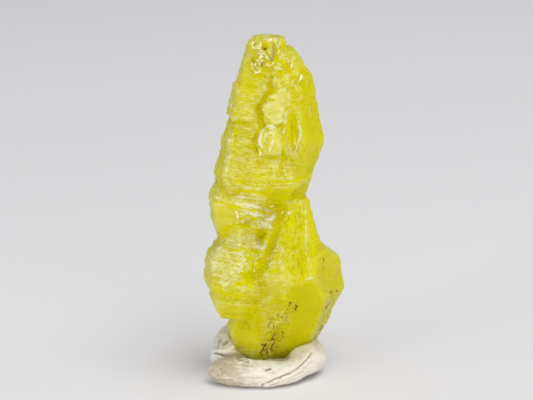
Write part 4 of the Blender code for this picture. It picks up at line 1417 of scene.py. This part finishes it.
# painted shade: a darker yellow where the fine marks push the veil below zero
colour = sulfur.blend(veil.between(-0.4, 0.0), crevice_shade_yellow, colour)
colour = sulfur.blend(cloudy * cloudy, colour, frosted_yellow)
# nearly white where the veil is highest: painted highlights on glints and glint ridges, and white bruising
# on heavy frost
colour = sulfur.blend(veil.between(0.9, 1.7), colour, bruise_and_glint_white)
# painted shade: an olive darkening along the scratches
colour = sulfur.blend(scratches * graininess * 0.4, colour, shaded_yellow)
colour = sulfur.blend(dirt, colour, dirt_brown)
print("nodes with colour:", len(sulfur.tree.nodes))

# %% [markdown]
# ## Sulfur: how light goes in
#
# Light enters sulfur and wanders for millimetres: red and green go far, and blue is soaked up
# at once, which is what makes it yellow. That is subsurface scattering, with a radius for
# each colour. Plain glass would show the stage through the crystal, and the real one is too
# full of flaws for that, so only a little of it is left to transmission. Where the skin is
# frosted a coat adds a soft shine of its own, and elsewhere the shine is tinted yellow.

# %% Scatter, shine and fine relief
SCATTER = (7.0, 6.3, 0.4)
MARK_DEPTH = 0.0003

sulfur.surface(
    Base_Color=colour,
    Roughness=0.25 + 0.25 * frosted.between(0.0, 1.0),
    IOR=1.6,
    Specular_IOR_Level=0.1,
    Specular_Tint=(1.0, 0.95, 0.1, 1.0),
    Transmission_Weight=0.2,
    Subsurface_Weight=1.0,
    Subsurface_Radius=SCATTER,
    Subsurface_Scale=MM,
    Coat_Weight=frosted.between(0.0, 1.2) * 0.45,
    Coat_IOR=1.6,
    Coat_Roughness=0.25,
    Normal=sulfur.bump(marks * rough_share + blotches * 0.3, MARK_DEPTH),
)
sulfur.shader.subsurface_method = "RANDOM_WALK"
print("sulfur:", len(sulfur.tree.nodes), "nodes")

# %% [markdown]
# ## The little crystals' finish
#
# They are paler and glossier than the skin they grow on. In a rod half a millimetre thick
# light cannot wander seven millimetres: with the big crystal's radius it would be lost and the
# rod would turn grey. So they get a finish of their own, with a short radius.

# %% Pale and glossy
paler = Finish("sulfur_druse_and_glint_rods")
speckled = paler.grain(paler.places(), 2500, 2.0).between(0.35, 0.65)
paler.surface(
    Base_Color=paler.blend(speckled, srgb(212, 198, 104), srgb(238, 232, 168)),
    Roughness=0.3,
    Specular_Tint=(1.0, 0.97, 0.6, 1.0),
    Subsurface_Weight=1.0,
    Subsurface_Radius=(1.0, 0.9, 0.4),
    Subsurface_Scale=0.3 * MM,
    Coat_Weight=0.5,
    Coat_IOR=1.7,
    Coat_Roughness=0.15,
)
print("sulfur_druse_and_glint_rods:", len(paler.tree.nodes), "nodes")

# %% [markdown]
# ## Putty's finish
#
# Mounting putty is dull and chalky, with grey smears from handling and tiny pores that hold
# dirt. The same grey is laid in its folds and on its left end as painted shade, and a yellow
# next to the crystal as painted light. Each of those is one mask that blends one colour in. A
# weak scattering softens its shadows, as in wax.

# %% Chalk white, smeared
clean_putty = srgb(226, 220, 206)
smear_and_shade_grey = srgb(178, 166, 138)
pore_grey = srgb(160, 148, 124)
table_dirt = srgb(112, 84, 66)
# painted light: the yellow glow that the crystal throws on the putty
painted_glow_yellow = srgb(214, 200, 96)

chalky = Finish("putty")
putty_places = chalky.places()
smears = chalky.grain(chalky.mapped(putty_places, (1.0, 1.0, 2.2)), 900, 4.0, 0.6)
pores = chalky.grain(putty_places, 4200, 4.0, 0.7)
# painted shade in the folds and on the left end, with the real grey smears, in one mask
smears_and_shade = chalky.painted("hollow") * 4.0 + 1.5 * (smears - 0.5) + chalky.painted("left_shade")
putty_colour = chalky.blend(smears_and_shade.between(-0.25, 0.65), clean_putty, smear_and_shade_grey)
putty_colour = chalky.blend(0.5 - 0.5 * pores.between(0.30, 0.38), putty_colour, pore_grey)
putty_colour = chalky.blend(chalky.painted("specks"), putty_colour, table_dirt)
# painted light: the yellow glow of the crystal on the putty beside it
putty_colour = chalky.blend(chalky.painted("yellow_glow") * (0.35 + 0.4 * smears), putty_colour, painted_glow_yellow)
chalky.surface(
    Base_Color=putty_colour,
    Roughness=0.62 + 0.2 * smears,
    Subsurface_Weight=0.25,
    Subsurface_Radius=(1.0, 0.9, 0.7),
    Subsurface_Scale=0.5 * MM,
    Normal=chalky.bump(smears * 0.4 + pores * 0.5, 0.00022),
)
print("putty:", len(chalky.tree.nodes), "nodes")

# %% [markdown]
# ## Dress the part
#
# The crystal and the putty stand for the solids they were made from, so each replaces its
# node, which stays hidden for the physics. The little crystals are an addition and replace
# nothing. They keep flat faces, because they are facets, while the two large skins are shaded
# smooth: their relief is real and needs no help from hard edges.

# %% Finish, ride and replace
for piece, finish, slot, node in (
    (crystal, sulfur, "sulfur", "sulfur_crystal"),
    (putty, chalky, "putty", "mounting_putty"),
    (druse_and_glint_rods, paler, "sulfur", None),
):
    piece.data.materials.append(finish.material)
    if node:
        piece.data.shade_smooth()
        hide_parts(node)
    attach(piece, BODY)
    print(piece.name, "rides on", BODY, "in", slot)

# %% [markdown]
# ## The stage
#
# A pale sheet of paper lies on the table and bends up behind, so no horizon shows. The bend
# is a quarter circle, made by a loop. A sheet this large is only a floor for the light, so it
# gets no detail.

# %% A paper sweep
SWEEP_WIDTH, SWEEP_FRONT, SWEEP_BACK, SWEEP_HEIGHT = 3.0, -1.2, 0.9, 1.6
BEND = 0.5
BEND_STEPS = 24


def paper_sweep():
    """A floor that bends up into a backdrop, in metres."""
    profile = [(SWEEP_FRONT, 0.0), (SWEEP_BACK - BEND, 0.0)]
    for step in range(1, BEND_STEPS + 1):
        angle = math.pi / 2 * step / BEND_STEPS
        profile.append((SWEEP_BACK - BEND * (1 - math.sin(angle)), BEND * (1 - math.cos(angle))))
    profile.append((SWEEP_BACK, SWEEP_HEIGHT))
    bm = bmesh.new()
    left, right = (
        [bm.verts.new((side * SWEEP_WIDTH / 2, y, z)) for y, z in profile] for side in (-1, 1)
    )
    for i in range(len(profile) - 1):
        bm.faces.new((left[i], right[i], right[i + 1], left[i + 1]))
    mesh = bpy.data.meshes.new("paper_sweep")
    bm.to_mesh(mesh)
    bm.free()
    mesh.shade_smooth()
    return bpy.data.objects.new("paper_sweep", mesh)


floor = paper_sweep()
bpy.context.scene.collection.objects.link(floor)
paper = Finish("paper")
paper.surface(Base_Color=srgb(229, 228, 229), Roughness=0.8, Specular_IOR_Level=0.1)
floor.data.materials.append(paper.material)
print("sweep:", len(floor.data.polygons), "faces")

# %% [markdown]
# ## Light
#
# A translucent crystal looks dead under one hard lamp. The main light is a large soft box,
# high and a little to the right, which throws a soft shadow to the left. A weak fill opens
# the left side, and a low white card lights the foot, which the crystal itself would shade.
# The room adds an even glow all round.

# %% Soft boxes and a glowing room
def softbox(name, place, aim, size, power):
    """A rectangle of light at a place in metres, aimed at another."""
    light = bpy.data.lights.new(name, "AREA")
    light.shape = "RECTANGLE"
    light.size, light.size_y = size
    light.energy = power
    made = bpy.data.objects.new(name, light)
    made.location = place
    made.rotation_euler = (Vector(aim) - Vector(place)).to_track_quat("-Z", "Y").to_euler()
    bpy.context.scene.collection.objects.link(made)


# name: place, aim and size in metres, power in watts
SOFTBOXES = {
    "overhead": ((0.20, -0.17, 0.72), (0, 0, 0.02), (0.55, 0.46), 3.15),
    "fill": ((-0.32, -0.24, 0.07), (0, 0, 0.03), (0.22, 0.12), 0.56),
    "card": ((0.16, -0.34, 0.03), (0, 0, 0.012), (0.24, 0.06), 0.55),
}
for light_name, setting in SOFTBOXES.items():
    softbox(light_name, *setting)

ROOM_COLOUR = (0.82, 0.82, 0.84, 1.0)
ROOM_GLOW = 0.54
room = bpy.data.worlds.new("room")
room.use_nodes = True
glow = room.node_tree.nodes["Background"].inputs
glow["Color"].default_value = ROOM_COLOUR
glow["Strength"].default_value = ROOM_GLOW
bpy.context.scene.world = room
bpy.context.scene.view_settings.view_transform = "Standard"
print("lights:", ", ".join(light.name for light in bpy.data.lights))
